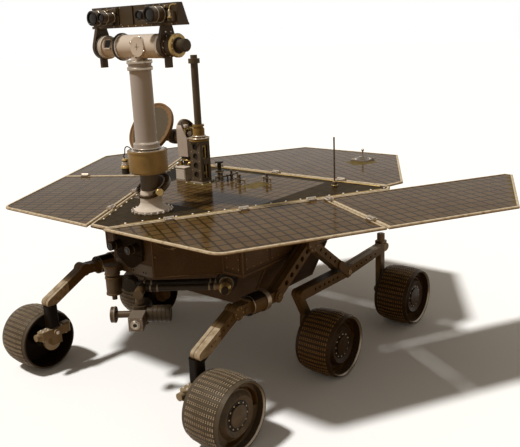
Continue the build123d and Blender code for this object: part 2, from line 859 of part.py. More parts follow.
# Mast foot: the flared dome on the deck, the canted ring round it, and the drive drum above
def dome(mode=Mode.ADD):
    """The bell-shaped dome, as a solid or as a cut."""
    flare_z = deck_sheet_top + dome_flange_height + dome_flare_height
    with BuildSketch(Plane(origin=(mast_x, mast_y, 0), x_dir=(1, 0, 0), z_dir=(0, -1, 0))) as profile:
        with BuildLine():
            Polyline(
                (0, dome_top),
                (0, deck_sheet_top),
                (dome_flange_radius, deck_sheet_top),
                (dome_flange_radius, deck_sheet_top + dome_flange_height),
            )
            RadiusArc(
                (dome_flange_radius, deck_sheet_top + dome_flange_height),
                (dome_radius, flare_z),
                dome_flare_height + dome_flange_height,
            )
            Line((dome_radius, flare_z), (dome_radius, dome_top - dome_radius))
            RadiusArc((dome_radius, dome_top - dome_radius), (0, dome_top), -dome_radius)
        make_face()
    revolve(profile.sketch, axis=Axis((mast_x, mast_y, 0), (0, 0, 1)), mode=mode)


with BuildPart() as mast_base:
    dome()
save(mast_base, "mast_base")

with BuildPart() as mast_ring:
    lean = radians(mast_ring_tilt)
    normal = (0, -sin(lean), cos(lean))
    with BuildSketch(Plane(origin=(mast_x, mast_y + mast_ring_setback, mast_ring_z), x_dir=(1, 0, 0),
                           z_dir=normal)) as disc:
        Circle(mast_ring_radius)
    extrude(disc.sketch, amount=mast_ring_thickness / 2, both=True)
    well = Plane(origin=(mast_x, mast_y + mast_ring_setback, mast_ring_z), x_dir=(1, 0, 0), z_dir=normal)
    with BuildSketch(well.offset(mast_ring_thickness / 2 - mast_ring_recess)) as groove:
        Circle(mast_ring_radius - mast_ring_rim)
        Circle(mast_ring_inner, mode=Mode.SUBTRACT)
    extrude(groove.sketch, amount=mast_ring_recess, mode=Mode.SUBTRACT)
    upright(mast_x, mast_y, mast_ring_z - mast_ring_thickness, drive_bottom, mast_foot_radius)
    dome(mode=Mode.SUBTRACT)
save(mast_ring, "mast_ring")

with BuildPart() as mast_drive:
    upright(mast_x, mast_y, drive_bottom, drive_top, drive_foot_radius)
    upright(mast_x, mast_y, drive_bottom + drive_foot_height, drive_top, drive_radius)
    upright(mast_x, mast_y, drive_top - drive_lid_height, drive_top, drive_lid_radius)
    upright(mast_x, mast_y, drive_top - mast_spigot_length, drive_top,
            mast_spigot_radius + shaft_clearance, mode=Mode.SUBTRACT)
save(mast_drive, "mast_drive")

with BuildPart() as mast_tube:
    upright(mast_x, mast_y, drive_top - mast_spigot_length + bore_end_gap, mast_collar_bottom, mast_spigot_radius)
    upright(mast_x, mast_y, mast_collar_bottom, mast_collar_bottom + mast_collar_height, mast_collar_radius)
    upright(mast_x, mast_y, mast_collar_bottom, mast_top, mast_radius)
    band_end = mast_top + mast_band_height
    ring_height = (mast_band_height - mast_band_groove) / 2
    upright(mast_x, mast_y, mast_top, mast_top + ring_height, mast_band_radius)
    upright(mast_x, mast_y, mast_top + ring_height, band_end - ring_height, mast_groove_radius)
    upright(mast_x, mast_y, band_end - ring_height, band_end, mast_band_radius)
save(mast_tube, "mast_tube")

# Head yoke: the cross tube on a short neck, bored at both ends for the tilting head's pins
tilt_point = (mast_y, tilt_axis_z)
cross_sections = (
    # from x, to x, radius
    (cross_tube_right, cross_tube_right + cross_end_width, cross_tube_radius),
    (cross_tube_right + cross_end_width, cross_flange_x - cross_flange_width, cross_slim_radius),
    (cross_flange_x - cross_flange_width, cross_flange_x, cross_flange_radius),
    (cross_flange_x, cross_tube_left, cross_tube_radius),
)
with BuildPart() as head_yoke:
    upright(mast_x, mast_y, mast_top + mast_band_height, tilt_axis_z, mast_neck_radius)
    for from_x, to_x, radius in cross_sections:
        side_disc(1, from_x, to_x - from_x, tilt_point, radius)
    rod((tilt_cap_x, *tilt_point), (0, -1, 0), tilt_cap_reach, tilt_cap_radius)
    for end_x, inward in ((cross_tube_left, -1), (cross_tube_right, 1)):
        rod((end_x, *tilt_point), (inward, 0, 0), tilt_pin_depth, tilt_pin_radius + shaft_clearance,
            mode=Mode.SUBTRACT)
save(head_yoke, "head_yoke")

# Camera head: a ribbed plate on a flange with gussets behind, between two brackets with lugs
bar_front_y = mast_y - bar_thickness / 2
bar_plate_back_y = bar_front_y + bar_plate
bar_back_y = bar_front_y + bar_back_depth
with BuildPart() as camera_bar:
    bar_mid_z = (bar_bottom + bar_top) / 2
    with BuildSketch(Plane.XZ.offset(-bar_plate_back_y)) as plate:
        with Locations((0, bar_mid_z)):
            Rectangle(bar_half_length * 2, bar_height)
    extrude(plate.sketch, amount=bar_plate)
    block(0, (bar_front_y + bar_back_y) / 2, bar_bottom, bar_bottom + bar_flange,
          bar_half_length * 2, bar_back_depth)
    block(0, bar_front_y, bar_bottom, bar_bottom + bar_rail_height, bar_half_length * 2, bar_rail_depth * 2)
    for share in bar_rib_shares:
        rib_x = share * bar_half_length
        block(rib_x, bar_front_y, bar_bottom, bar_top, bar_rib_width, bar_rib_depth * 2)
    for share in bar_gusset_shares:
        gusset_x = share * (bar_half_length - bar_rib_width / 2)
        with BuildSketch(side_plane(1, gusset_x - bar_rib_width / 2)) as gusset:
            with BuildLine():
                Polyline(
                    (bar_front_y, bar_bottom),
                    (bar_back_y, bar_bottom),
                    (bar_plate_back_y + bar_gusset_top, bar_top),
                    (bar_front_y, bar_top),
                    close=True,
                )
            make_face()
        extrude(gusset.sketch, amount=bar_rib_width)
    for end_x, outward in ((cross_tube_left, 1), (cross_tube_right, -1)):
        bracket_x = end_x + outward * cross_gap
        with BuildSketch(Plane(origin=(bracket_x, 0, 0), x_dir=(0, outward, 0), z_dir=(outward, 0, 0))) as cheek:
            with Locations((outward * mast_y, tilt_axis_z)):
                Circle(bracket_round)
            with Locations((outward * mast_y, bar_bottom)):
                Rectangle(bar_thickness * 2, bar_flange)
            make_hull()
            with Locations((outward * mast_y, tilt_axis_z - lug_drop / 2)):
                Rectangle(lug_half_width * 2, lug_drop)
        extrude(cheek.sketch, amount=bracket_thickness)
        pin_length = cross_gap + tilt_pin_depth - bore_end_gap
        rod((bracket_x, *tilt_point), (-outward, 0, 0), pin_length, tilt_pin_radius)
    motor_x = cross_tube_left + cross_gap + bracket_thickness
    rod((motor_x, *tilt_point), (1, 0, 0), tilt_ring_length, tilt_ring_radius - bar_plate / 2)
    rod((motor_x, *tilt_point), (1, 0, 0), tilt_motor_end - motor_x, tilt_motor_radius)
    rod((tilt_motor_end, *tilt_point), (1, 0, 0), tilt_stub_end - tilt_motor_end, tilt_stub_radius)
save(camera_bar, "camera_bar")

for name, camera_x, radius in (("pan_cameras", pan_camera_x, pan_camera_radius),
                               ("nav_cameras", nav_camera_x, nav_camera_radius)):
    with BuildPart() as cameras:
        for side_name, side in sides:
            rod((side * camera_x, bar_front_y, camera_z), (0, -1, 0), camera_length, radius)
            rod((side * camera_x, bar_plate_back_y, camera_z), (0, 1, 0), camera_back, radius)
    save(cameras, name)

# Low gain antenna: a hollow four-sided tower with windows, a flange, and the pole
with BuildPart() as antenna_tower:
    tower_height = tower_top - deck_sheet_top
    with BuildSketch(Plane.XY.offset(deck_sheet_top)) as plan:
        with Locations((tower_x, tower_y)):
            Rectangle(tower_side, tower_side)
            Rectangle(tower_side - tower_wall * 2, tower_side - tower_wall * 2, mode=Mode.SUBTRACT)
    extrude(plan.sketch, amount=tower_height)
    with BuildSketch(Plane.XZ.offset(-tower_y - tower_side)) as holes:
        with Locations(*[(tower_x, deck_sheet_top + tower_height * share) for share in tower_hole_shares]):
            Circle(tower_hole_radius)
    extrude(holes.sketch, amount=tower_side * 2, mode=Mode.SUBTRACT)
    with BuildSketch(side_plane(1, tower_x - tower_side)) as slots:
        with Locations(*[(tower_y, deck_sheet_top + tower_height * share) for share in tower_slot_shares]):
            Rectangle(tower_slot_width, tower_slot_height)
    extrude(slots.sketch, amount=tower_side * 2, mode=Mode.SUBTRACT)
    block(tower_x, tower_y, deck_sheet_top, deck_sheet_top + tower_foot_height, tower_foot_side, tower_foot_side)
    upright(tower_x, tower_y, tower_top, tower_top + tower_flange_height, tower_flange_radius)
save(antenna_tower, "antenna_tower")

with BuildPart() as antenna_pole:
    pole_foot = tower_top + tower_flange_height
    upright(tower_x, tower_y, pole_foot, pole_collar_top, (pole_collar_radius + pole_radius) / 2)
    upright(tower_x, tower_y, pole_foot, pole_collar_top - pole_collar_groove * 2, pole_collar_radius)
    upright(tower_x, tower_y, pole_collar_top - pole_collar_groove, pole_collar_top, pole_collar_radius)
    upright(tower_x, tower_y, pole_collar_top, pole_top, pole_radius)
    upright(tower_x, tower_y, pole_top, pole_top + pole_cap_height, pole_cap_radius)
    cap_top = pole_top + pole_cap_height
    upright(tower_x, tower_y, cap_top, cap_top + pole_tip_height, pole_tip_radius)
save(antenna_pole, "antenna_pole")

# High gain antenna: a post, a turning hood with its side arm, and the tilting dish
with BuildPart() as dish_post:
    upright(dish_mast_x, dish_mast_y, deck_sheet_top, dish_post_top, dish_post_radius)
    upright(dish_mast_x, dish_mast_y, deck_sheet_top, deck_sheet_top + dish_base_height, dish_base_radius)
    upright(dish_mast_x, dish_mast_y, dish_post_top - dish_collar_height, dish_post_top, dish_collar_radius)
    block(dish_mast_x, dish_mast_y - dish_box_shift, deck_sheet_top, deck_sheet_top + dish_box_height,
          dish_box_length, dish_box_depth)
    upright(dish_mast_x, dish_mast_y, dish_post_top - dish_spindle_length, dish_post_top,
            dish_spindle_radius + shaft_clearance, mode=Mode.SUBTRACT)
save(dish_post, "dish_post")

hood_bottom = dish_post_top + dish_gap
dish_arm_x = dish_mast_x - hood_width / 2
dish_arm_tip = dish_arm_x - dish_arm_length
with BuildPart() as dish_hood:
    spindle_foot = dish_post_top - dish_spindle_length + bore_end_gap
    upright(dish_mast_x, dish_mast_y, spindle_foot, hood_bottom, dish_spindle_radius)
    for wall, mode in ((0, Mode.ADD), (hood_wall, Mode.SUBTRACT)):
        round_radius = hood_depth / 2 - wall
        low_z = hood_bottom + (hood_floor if wall else 0)
        crown_z = hood_high_top - hood_depth / 2
        with BuildSketch(side_plane(1, dish_arm_x + wall)) as profile:
            with BuildLine():
                Line((dish_mast_y - round_radius, crown_z), (dish_mast_y - round_radius, low_z))
                Line((dish_mast_y - round_radius, low_z), (dish_mast_y + round_radius, low_z))
                Line((dish_mast_y + round_radius, low_z), (dish_mast_y + round_radius, crown_z))
                ThreePointArc(
                    (dish_mast_y + round_radius, crown_z),
                    (dish_mast_y, crown_z + round_radius),
                    (dish_mast_y - round_radius, crown_z),
                )
            make_face()
        extrude(profile.sketch, amount=hood_width - wall * 2, mode=mode)
    # The open top, cut on the slant from the arm side down to the far side
    hood_far_x = dish_arm_x + hood_width
    with BuildSketch(Plane.XZ.offset(-dish_mast_y - hood_depth)) as slant:
        with BuildLine():
            Polyline(
                (dish_arm_x + hood_lip, hood_high_top),
                (hood_far_x, hood_low_top),
                (hood_far_x + hood_lip, hood_low_top),
                (hood_far_x + hood_lip, hood_high_top + hood_lip),
                (dish_arm_x + hood_lip, hood_high_top + hood_lip),
                close=True,
            )
        make_face()
    extrude(slant.sketch, amount=hood_depth * 2, mode=Mode.SUBTRACT)
    rod((dish_arm_x, dish_mast_y, dish_axis_z), (1, 0, 0), hood_drum_length, hood_drum_radius)
    arm_end = (dish_arm_x, dish_mast_y, dish_axis_z)
    rod(arm_end, (-1, 0, 0), dish_arm_length, dish_arm_radius)
    for share in gimbal_ring_shares:
        ring_at = (dish_arm_x - share * dish_arm_length, dish_mast_y, dish_axis_z)
        rod(ring_at, (-1, 0, 0), gimbal_ring_length, gimbal_ring_radius)
    rod((dish_arm_tip, dish_mast_y, dish_axis_z), (1, 0, 0), dish_spindle_length,
        dish_spindle_radius + shaft_clearance, mode=Mode.SUBTRACT)
save(dish_hood, "dish_hood")

with BuildPart() as dish:
    lean = radians(dish_rest_tilt)
    normal = (0, -cos(lean), sin(lean))
    hub_x = dish_arm_tip - dish_gap
    hub_end_x = dish_mast_x - dish_side - dish_hub_radius
    rod((hub_x, dish_mast_y, dish_axis_z), (-1, 0, 0), hub_x - hub_end_x, dish_hub_radius)
    pin_length = dish_gap + dish_spindle_length - bore_end_gap
    rod((hub_x, dish_mast_y, dish_axis_z), (1, 0, 0), pin_length, dish_spindle_radius)
    centre = (dish_mast_x - dish_side, dish_mast_y, dish_axis_z)
    rod(centre, normal, dish_offset, dish_strut_radius)
    back = tuple(a + b * dish_offset for a, b in zip(centre, normal))
    rod(back, normal, dish_thickness, dish_radius)
    face = tuple(a + b * (dish_thickness - dish_rim_height) for a, b in zip(back, normal))
    rod(face, normal, dish_rim_height, dish_radius - dish_rim_width, mode=Mode.SUBTRACT)
    boss = tuple(a - b * dish_back_height for a, b in zip(back, normal))
    rod(boss, normal, dish_back_height, dish_back_radius)
save(dish, "dish")

# Whip antenna and sundial
with BuildPart() as whip_antenna:
    upright(whip_x, whip_y, deck_sheet_top, deck_sheet_top + whip_base_height, whip_base_radius)
    upright(whip_x, whip_y, deck_sheet_top + whip_base_height, whip_top, whip_radius)
save(whip_antenna, "whip_antenna")

with BuildPart() as sundial:
    block(sundial_x, sundial_y, deck_sheet_top, deck_sheet_top + sundial_thickness, sundial_side, sundial_side)
    ball_z = sundial_top - sundial_ball_radius
    upright(sundial_x, sundial_y, deck_sheet_top + sundial_thickness, ball_z, sundial_post_radius)
    with Locations((sundial_x, sundial_y, ball_z)):
        Sphere(sundial_ball_radius)
save(sundial, "sundial")

# Hazard cameras under the deck, on a plate at each end of the body
for name, face_y, toward in (("hazard_cameras_front", nose_front_y, -1), ("hazard_cameras_rear", body_tail_y, 1)):
    with BuildPart() as hazard:
        plate_y = face_y + toward * hazard_plate_thickness / 2
        low = hazard_z - hazard_plate_height / 2
        block(hazard_x, plate_y, low, low + hazard_plate_height, hazard_plate_length, hazard_plate_thickness)
        for place in (-hazard_baseline / 2, hazard_baseline / 2):
            start = (hazard_x + place, face_y + toward * hazard_plate_thickness, hazard_z)
            rod(start, (0, toward, 0), hazard_camera_length, hazard_camera_radius)
    save(hazard, name)

# Instrument arm mount: a cup on the nose that the shoulder turns in
with BuildPart() as arm_mount:
    upright(shoulder_x, shoulder_y, mount_bottom, mount_cup_top, shoulder_radius)
    seat_depth = nose_front_y - shoulder_y
    block(shoulder_x, (nose_front_y + shoulder_y) / 2, body_bottom, mount_cup_top, mount_half_width, seat_depth)
    upright(shoulder_x, shoulder_y, mount_bottom, mount_bottom + shoulder_pin_length,
            shoulder_pin_radius + shaft_clearance, mode=Mode.SUBTRACT)
save(arm_mount, "arm_mount")

# Shoulder: the turning drum, with a cheek that carries the upper arm's pin
lift_inner_v = -lift_half_width - arm_gap
with BuildPart() as shoulder:
    upright(shoulder_x, shoulder_y, shoulder_bottom, shoulder_top, shoulder_radius)
    upright(shoulder_x, shoulder_y, shoulder_bottom - shoulder_stub_height, shoulder_bottom, shoulder_stub_radius)
    pin_top = mount_bottom + shoulder_pin_length - bore_end_gap
    upright(shoulder_x, shoulder_y, shoulder_top, pin_top, shoulder_pin_radius)
    with BuildSketch(Plane(origin=arm_point(0, lift_inner_v - lift_cheek, arm_z), x_dir=arm_along,
                           z_dir=arm_across)) as cheek:
        Circle(lift_radius)
        with Locations((lift_u, 0)):
            Circle(lift_radius)
        make_hull()
    extrude(cheek.sketch, amount=lift_cheek)
    rod(arm_point(lift_u, lift_inner_v - lift_cheek, arm_z), arm_across,
        lift_cheek + lift_half_width * 2 - bore_end_gap, arm_pin_radius)
save(shoulder, "shoulder")

# Upper arm: the lift drum, the tube and the elbow disc
with BuildPart() as upper_arm:
    rod(arm_point(lift_u, -lift_half_width, arm_z), arm_across, lift_half_width * 2, lift_radius)
    rod(arm_point(lift_u, 0, arm_z), arm_along, elbow_u - lift_u, upper_arm_radius)
    rod(arm_point(elbow_u, -elbow_half_width, arm_z), arm_across, elbow_half_width * 2, elbow_radius)
    rod(arm_point(lift_u, -lift_half_width, arm_z), arm_across, lift_half_width * 2 - arm_gap,
        arm_pin_radius + shaft_clearance, mode=Mode.SUBTRACT)
    rod(arm_point(elbow_u, elbow_half_width, arm_z), tuple(-a for a in arm_across), elbow_half_width,
        arm_pin_radius + shaft_clearance, mode=Mode.SUBTRACT)
save(upper_arm, "upper_arm")

# Forearm: the elbow motor beside the disc, the tube back toward the shoulder, the wrist boss
with BuildPart() as forearm:
    motor_v = elbow_half_width + arm_gap
    rod(arm_point(elbow_u, motor_v, arm_z), arm_across, elbow_motor_end - motor_v, elbow_motor_radius)
    rod(arm_point(elbow_u, elbow_motor_end, arm_z), arm_across, elbow_knob_end - elbow_motor_end, elbow_knob_radius)
    rod(arm_point(elbow_u, bore_end_gap, arm_z), arm_across, motor_v - bore_end_gap, arm_pin_radius)
    rod(arm_point(wrist_u, forearm_v, arm_z), arm_along, elbow_u - wrist_u, forearm_radius)
    rod(arm_point(wrist_u, forearm_v - wrist_half_width, arm_z), arm_across, wrist_half_width * 2, wrist_radius)
    rod(arm_point(wrist_u, forearm_v - wrist_radius, arm_z), arm_across, wrist_radius * 2,
        arm_pin_radius + shaft_clearance, mode=Mode.SUBTRACT)
save(forearm, "forearm")

# Wrist: a drum beside the forearm on its pin, with the turret's bearing below it
wrist_inner_v = forearm_v + wrist_half_width + arm_gap
with BuildPart() as wrist:
    rod(arm_point(wrist_u, wrist_inner_v, arm_z), arm_across, wrist_cap_end - wrist_inner_v, wrist_radius)
    rod(arm_point(wrist_u, forearm_v - wrist_half_width, arm_z), arm_across,
        wrist_inner_v - forearm_v + wrist_half_width, arm_pin_radius)
    bearing = arm_point(wrist_u, turret_v, 0)
    upright(bearing[0], bearing[1], turret_housing_bottom, arm_z, turret_housing_radius)
    upright(bearing[0], bearing[1], turret_housing_bottom, turret_housing_bottom + turret_spindle_length,
            turret_spindle_radius + shaft_clearance, mode=Mode.SUBTRACT)
save(wrist, "wrist")

# Turret: a hub with four tools set round it
turret_mid = (turret_top + turret_bottom) / 2


def turret_direction(quarter):
    """Unit vector out of the turret, counted in quarter turns from the arm's own direction."""
    turn = radians(arm_heading - 90 * quarter)
    return (cos(turn), sin(turn), 0)


def tool_point(quarter, reach):
    hub = arm_point(wrist_u, turret_v, turret_mid)
    out = turret_direction(quarter)
    return (hub[0] + out[0] * reach, hub[1] + out[1] * reach, hub[2])


with BuildPart() as turret_hub:
    hub = arm_point(wrist_u, turret_v, 0)
    upright(hub[0], hub[1], turret_bottom, turret_top, turret_radius)
    pin_top = turret_housing_bottom + turret_spindle_length - bore_end_gap
    upright(hub[0], hub[1], turret_top, pin_top, turret_spindle_radius)
save(turret_hub, "turret_hub")

with BuildPart() as tool_grinder:
    rod(tool_point(0, turret_radius), turret_direction(0), grinder_reach - turret_radius, grinder_radius)
    upright(hub[0], hub[1], turret_bottom, turret_top, turret_radius, mode=Mode.SUBTRACT)
save(tool_grinder, "tool_grinder")

with BuildPart() as tool_microscope:
    box_plane = Plane(origin=tool_point(1, turret_radius), z_dir=turret_direction(1), x_dir=(0, 0, 1))
    with BuildSketch(box_plane) as box:
        Rectangle(microscope_side, microscope_side)
    extrude(box.sketch, amount=microscope_reach - turret_radius)
    rod(tool_point(1, microscope_reach), turret_direction(1), port_height, port_radius)
    upright(hub[0], hub[1], turret_bottom, turret_top, turret_radius, mode=Mode.SUBTRACT)
save(tool_microscope, "tool_microscope")

with BuildPart() as tool_contact:
    neck_end = contact_reach - contact_thickness
    rod(tool_point(2, turret_radius), turret_direction(2), neck_end - turret_radius, contact_neck_radius)
    rod(tool_point(2, neck_end), turret_direction(2), contact_thickness, contact_radius)
    upright(hub[0], hub[1], turret_bottom, turret_top, turret_radius, mode=Mode.SUBTRACT)
save(tool_contact, "tool_contact")

with BuildPart() as tool_sensor:
    rod(tool_point(3, turret_radius), turret_direction(3), sensor_reach - turret_radius, sensor_radius)
    upright(hub[0], hub[1], turret_bottom, turret_top, turret_radius, mode=Mode.SUBTRACT)
save(tool_sensor, "tool_sensor")
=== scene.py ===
import math

import bmesh
import bpy
from mathutils import Matrix, Vector


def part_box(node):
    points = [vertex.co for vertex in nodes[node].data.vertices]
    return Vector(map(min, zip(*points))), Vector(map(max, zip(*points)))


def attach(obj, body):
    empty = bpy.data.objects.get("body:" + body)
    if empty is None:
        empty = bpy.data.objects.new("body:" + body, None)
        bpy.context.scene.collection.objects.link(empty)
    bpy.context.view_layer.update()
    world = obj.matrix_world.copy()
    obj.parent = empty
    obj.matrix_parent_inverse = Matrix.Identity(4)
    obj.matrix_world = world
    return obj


# Looks of the planetary rover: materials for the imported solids, and the small fittings on them.
# Metres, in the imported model's own frame: +Z up, front toward -Y, the rover's left toward +X.

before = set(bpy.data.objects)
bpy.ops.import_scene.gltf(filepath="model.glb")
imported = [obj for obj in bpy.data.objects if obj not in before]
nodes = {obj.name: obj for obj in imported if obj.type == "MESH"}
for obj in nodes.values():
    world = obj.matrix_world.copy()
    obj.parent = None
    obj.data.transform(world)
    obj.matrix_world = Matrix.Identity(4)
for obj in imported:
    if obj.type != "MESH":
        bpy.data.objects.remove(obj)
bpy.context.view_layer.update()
X, Y, Z = Vector((1, 0, 0)), Vector((0, 1, 0)), Vector((0, 0, 1))

# Places shared with the solids
SIDES = {"left": 1, "right": -1}
BOTH = (-1, 1)
AXLES = {"front": -0.760, "middle": -0.128, "rear": 0.489}
WHEEL_X = 0.530
WHEEL_RADIUS = 0.130
DRUM_RADIUS, DRUM_FLAT_HALF = 0.1274, 0.026
SHOULDER_WIDTH, SHOULDER_DROP = 0.038, 0.0030
SHEET_TOP = 0.698
SWEEP = math.radians(30)
SLOPE = math.tan(SWEEP)
CROSS_HINGE = Vector((0.4729, -0.0570, 0.0))
HINGE_LINE_X = 0.5058
NOSE_Y = -0.645
MAST = Vector((0.0, -0.530, 0.0))
HEAD = Vector((0.0, -0.530, 1.305))
TOWER = Vector((-0.183, -0.061, 0.0))
POST = Vector((-0.290, -0.020, 0.0))
# The rocker's joints, on Y and Z
PIVOT, KNEE, FOLD, BOGIE = (-0.110, 0.525), (-0.343, 0.380), (-0.573, 0.394), (0.152, 0.325)


class Nodes:
    """A small wrapper that builds one material's node tree."""

    def __init__(self, name):
        self.material = bpy.data.materials.new(name)
        self.material.use_nodes = True
        self.tree = self.material.node_tree
        self.tree.nodes.clear()
        output = self.add("ShaderNodeOutputMaterial")
        self.shader = self.add("ShaderNodeBsdfPrincipled")
        self.link(self.shader.outputs[0], output.inputs[0])
        self.place = self.add("ShaderNodeTexCoord").outputs["Object"]
        parts = self.add("ShaderNodeSeparateXYZ")
        self.link(self.place, parts.inputs[0])
        self.x, self.y, self.z = parts.outputs[0], parts.outputs[1], parts.outputs[2]

    def add(self, kind, **settings):
        node = self.tree.nodes.new(kind)
        for key, value in settings.items():
            setattr(node, key, value)
        return node

    def link(self, out, into):
        self.tree.links.new(out, into)

    def put(self, socket, value):
        if isinstance(value, bpy.types.NodeSocket):
            self.link(value, socket)
        elif isinstance(value, tuple) and len(value) == 3 and len(getattr(socket, "default_value", ())) == 4:
            socket.default_value = (*value, 1.0)
        else:
            socket.default_value = value

    def math(self, operation, a, b=None):
        node = self.add("ShaderNodeMath", operation=operation)
        self.put(node.inputs[0], a)
        if b is not None:
            self.put(node.inputs[1], b)
        return node.outputs[0]

    def times(self, a, b):
        return self.math("MULTIPLY", a, b)

    def minus(self, a, b):
        return self.math("SUBTRACT", a, b)

    def size(self, a):
        return self.math("ABSOLUTE", a)

    def radius(self, a, b):
        return self.math("SQRT", self.math("ADD", self.times(a, a), self.times(b, b)))

    def above(self, value, limit):
        return self.math("GREATER_THAN", value, limit)

    def below(self, value, limit):
        return self.math("LESS_THAN", value, limit)

    def within(self, value, low, high):
        return self.times(self.above(value, low), self.below(value, high))

    def vector(self, operation, a, b):
        node = self.add("ShaderNodeVectorMath", operation=operation)
        self.put(node.inputs[0], a)
        self.put(node.inputs[1], b)
        return node.outputs["Value" if operation == "DOT_PRODUCT" else "Vector"]

    def along(self, direction, origin=(0, 0, 0)):
        """Distance along a direction from a point, in metres."""
        return self.vector("DOT_PRODUCT", self.vector("SUBTRACT", self.place, origin), direction)

    def upward(self):
        """How far the surface faces up."""
        return self.vector("DOT_PRODUCT", self.add("ShaderNodeNewGeometry").outputs["Normal"], (0, 0, 1))

    def mix(self, share, a, b):
        node = self.add("ShaderNodeMix", data_type="RGBA")
        for i, value in ((0, share), (6, a), (7, b)):
            self.put(node.inputs[i], value)
        return node.outputs[2]

    def blend(self, share, a, b):
        node = self.add("ShaderNodeMix")
        for i, value in enumerate((share, None, a, b)):
            if value is not None:
                self.put(node.inputs[i], value)
        return node.outputs[0]

    def noise(self, scale, detail=4.0, rough=0.55, stretch=None):
        place = self.place
        if stretch:
            node = self.add("ShaderNodeMapping")
            self.link(place, node.inputs[0])
            node.inputs["Scale"].default_value = stretch
            place = node.outputs[0]
        node = self.add("ShaderNodeTexNoise")
        self.link(place, node.inputs["Vector"])
        for key, value in (("Scale", scale), ("Detail", detail), ("Roughness", rough)):
            node.inputs[key].default_value = value
        return node.outputs[0]

    def ramp(self, value, low, high, a=0.0, b=1.0):
        node = self.add("ShaderNodeMapRange")
        for i, setting in enumerate((value, low, high, a, b)):
            self.put(node.inputs[i], setting)
        return node.outputs[0]

    def clouded(self, tones, scale, detail=4.0, low=0.3, high=0.7):
        """A tone that clouds over into another."""
        return self.mix(self.ramp(self.noise(scale, detail), low, high), *tones)

    def bump(self, height, strength, distance):
        node = self.add("ShaderNodeBump")
        node.inputs["Strength"].default_value = strength
        node.inputs["Distance"].default_value = distance
        self.link(height, node.inputs["Height"])
        self.link(node.outputs[0], self.shader.inputs["Normal"])

    def finish(self, tone, rough, metallic, level):
        self.put(self.shader.inputs["Base Color"], tone)
        self.put(self.shader.inputs["Roughness"], rough)
        self.put(self.shader.inputs["Metallic"], metallic)
        self.shader.inputs["Specular IOR Level"].default_value = level
        return self.material


def weathered(n, colour, dark, scale, contrast, dust, bump, grain=(1, 1, 1)):
    """A tone with stains, a fine grain and dust on what faces up, and its bump."""
    stains = n.ramp(n.noise(scale * 0.2, 5.0), 0.36, 0.66)
    fine = n.ramp(n.noise(scale * 6, 3.0, 0.6, grain), 0.3, 0.7)
    tone = n.mix(n.times(stains, contrast), colour, dark)
    light = n.mix(0.3, tone, (0.55, 0.44, 0.30))
    tone = n.mix(n.times(fine, contrast * 0.45), tone, light)
    dusty = n.times(n.ramp(n.upward(), 0.55, 1.0), n.ramp(n.noise(scale * 0.9, 4.0), 0.35, 0.75))
    tone = n.mix(n.times(dusty, dust), tone, (0.40, 0.32, 0.22))
    n.bump(n.math("ADD", fine, n.times(stains, 0.6)), bump, 0.0006)
    return tone, stains


def metal(name, colour, dark, rough, metallic, scale, contrast, dust, bump=0.15, level=0.15, grain=(1, 1, 1)):
    """Painted or bare metal."""
    n = Nodes(name)
    tone, stains = weathered(n, colour, dark, scale, contrast, dust, bump, grain)
    return n.finish(tone, n.ramp(stains, 0.0, 1.0, rough - 0.06, rough + 0.12), metallic, level)


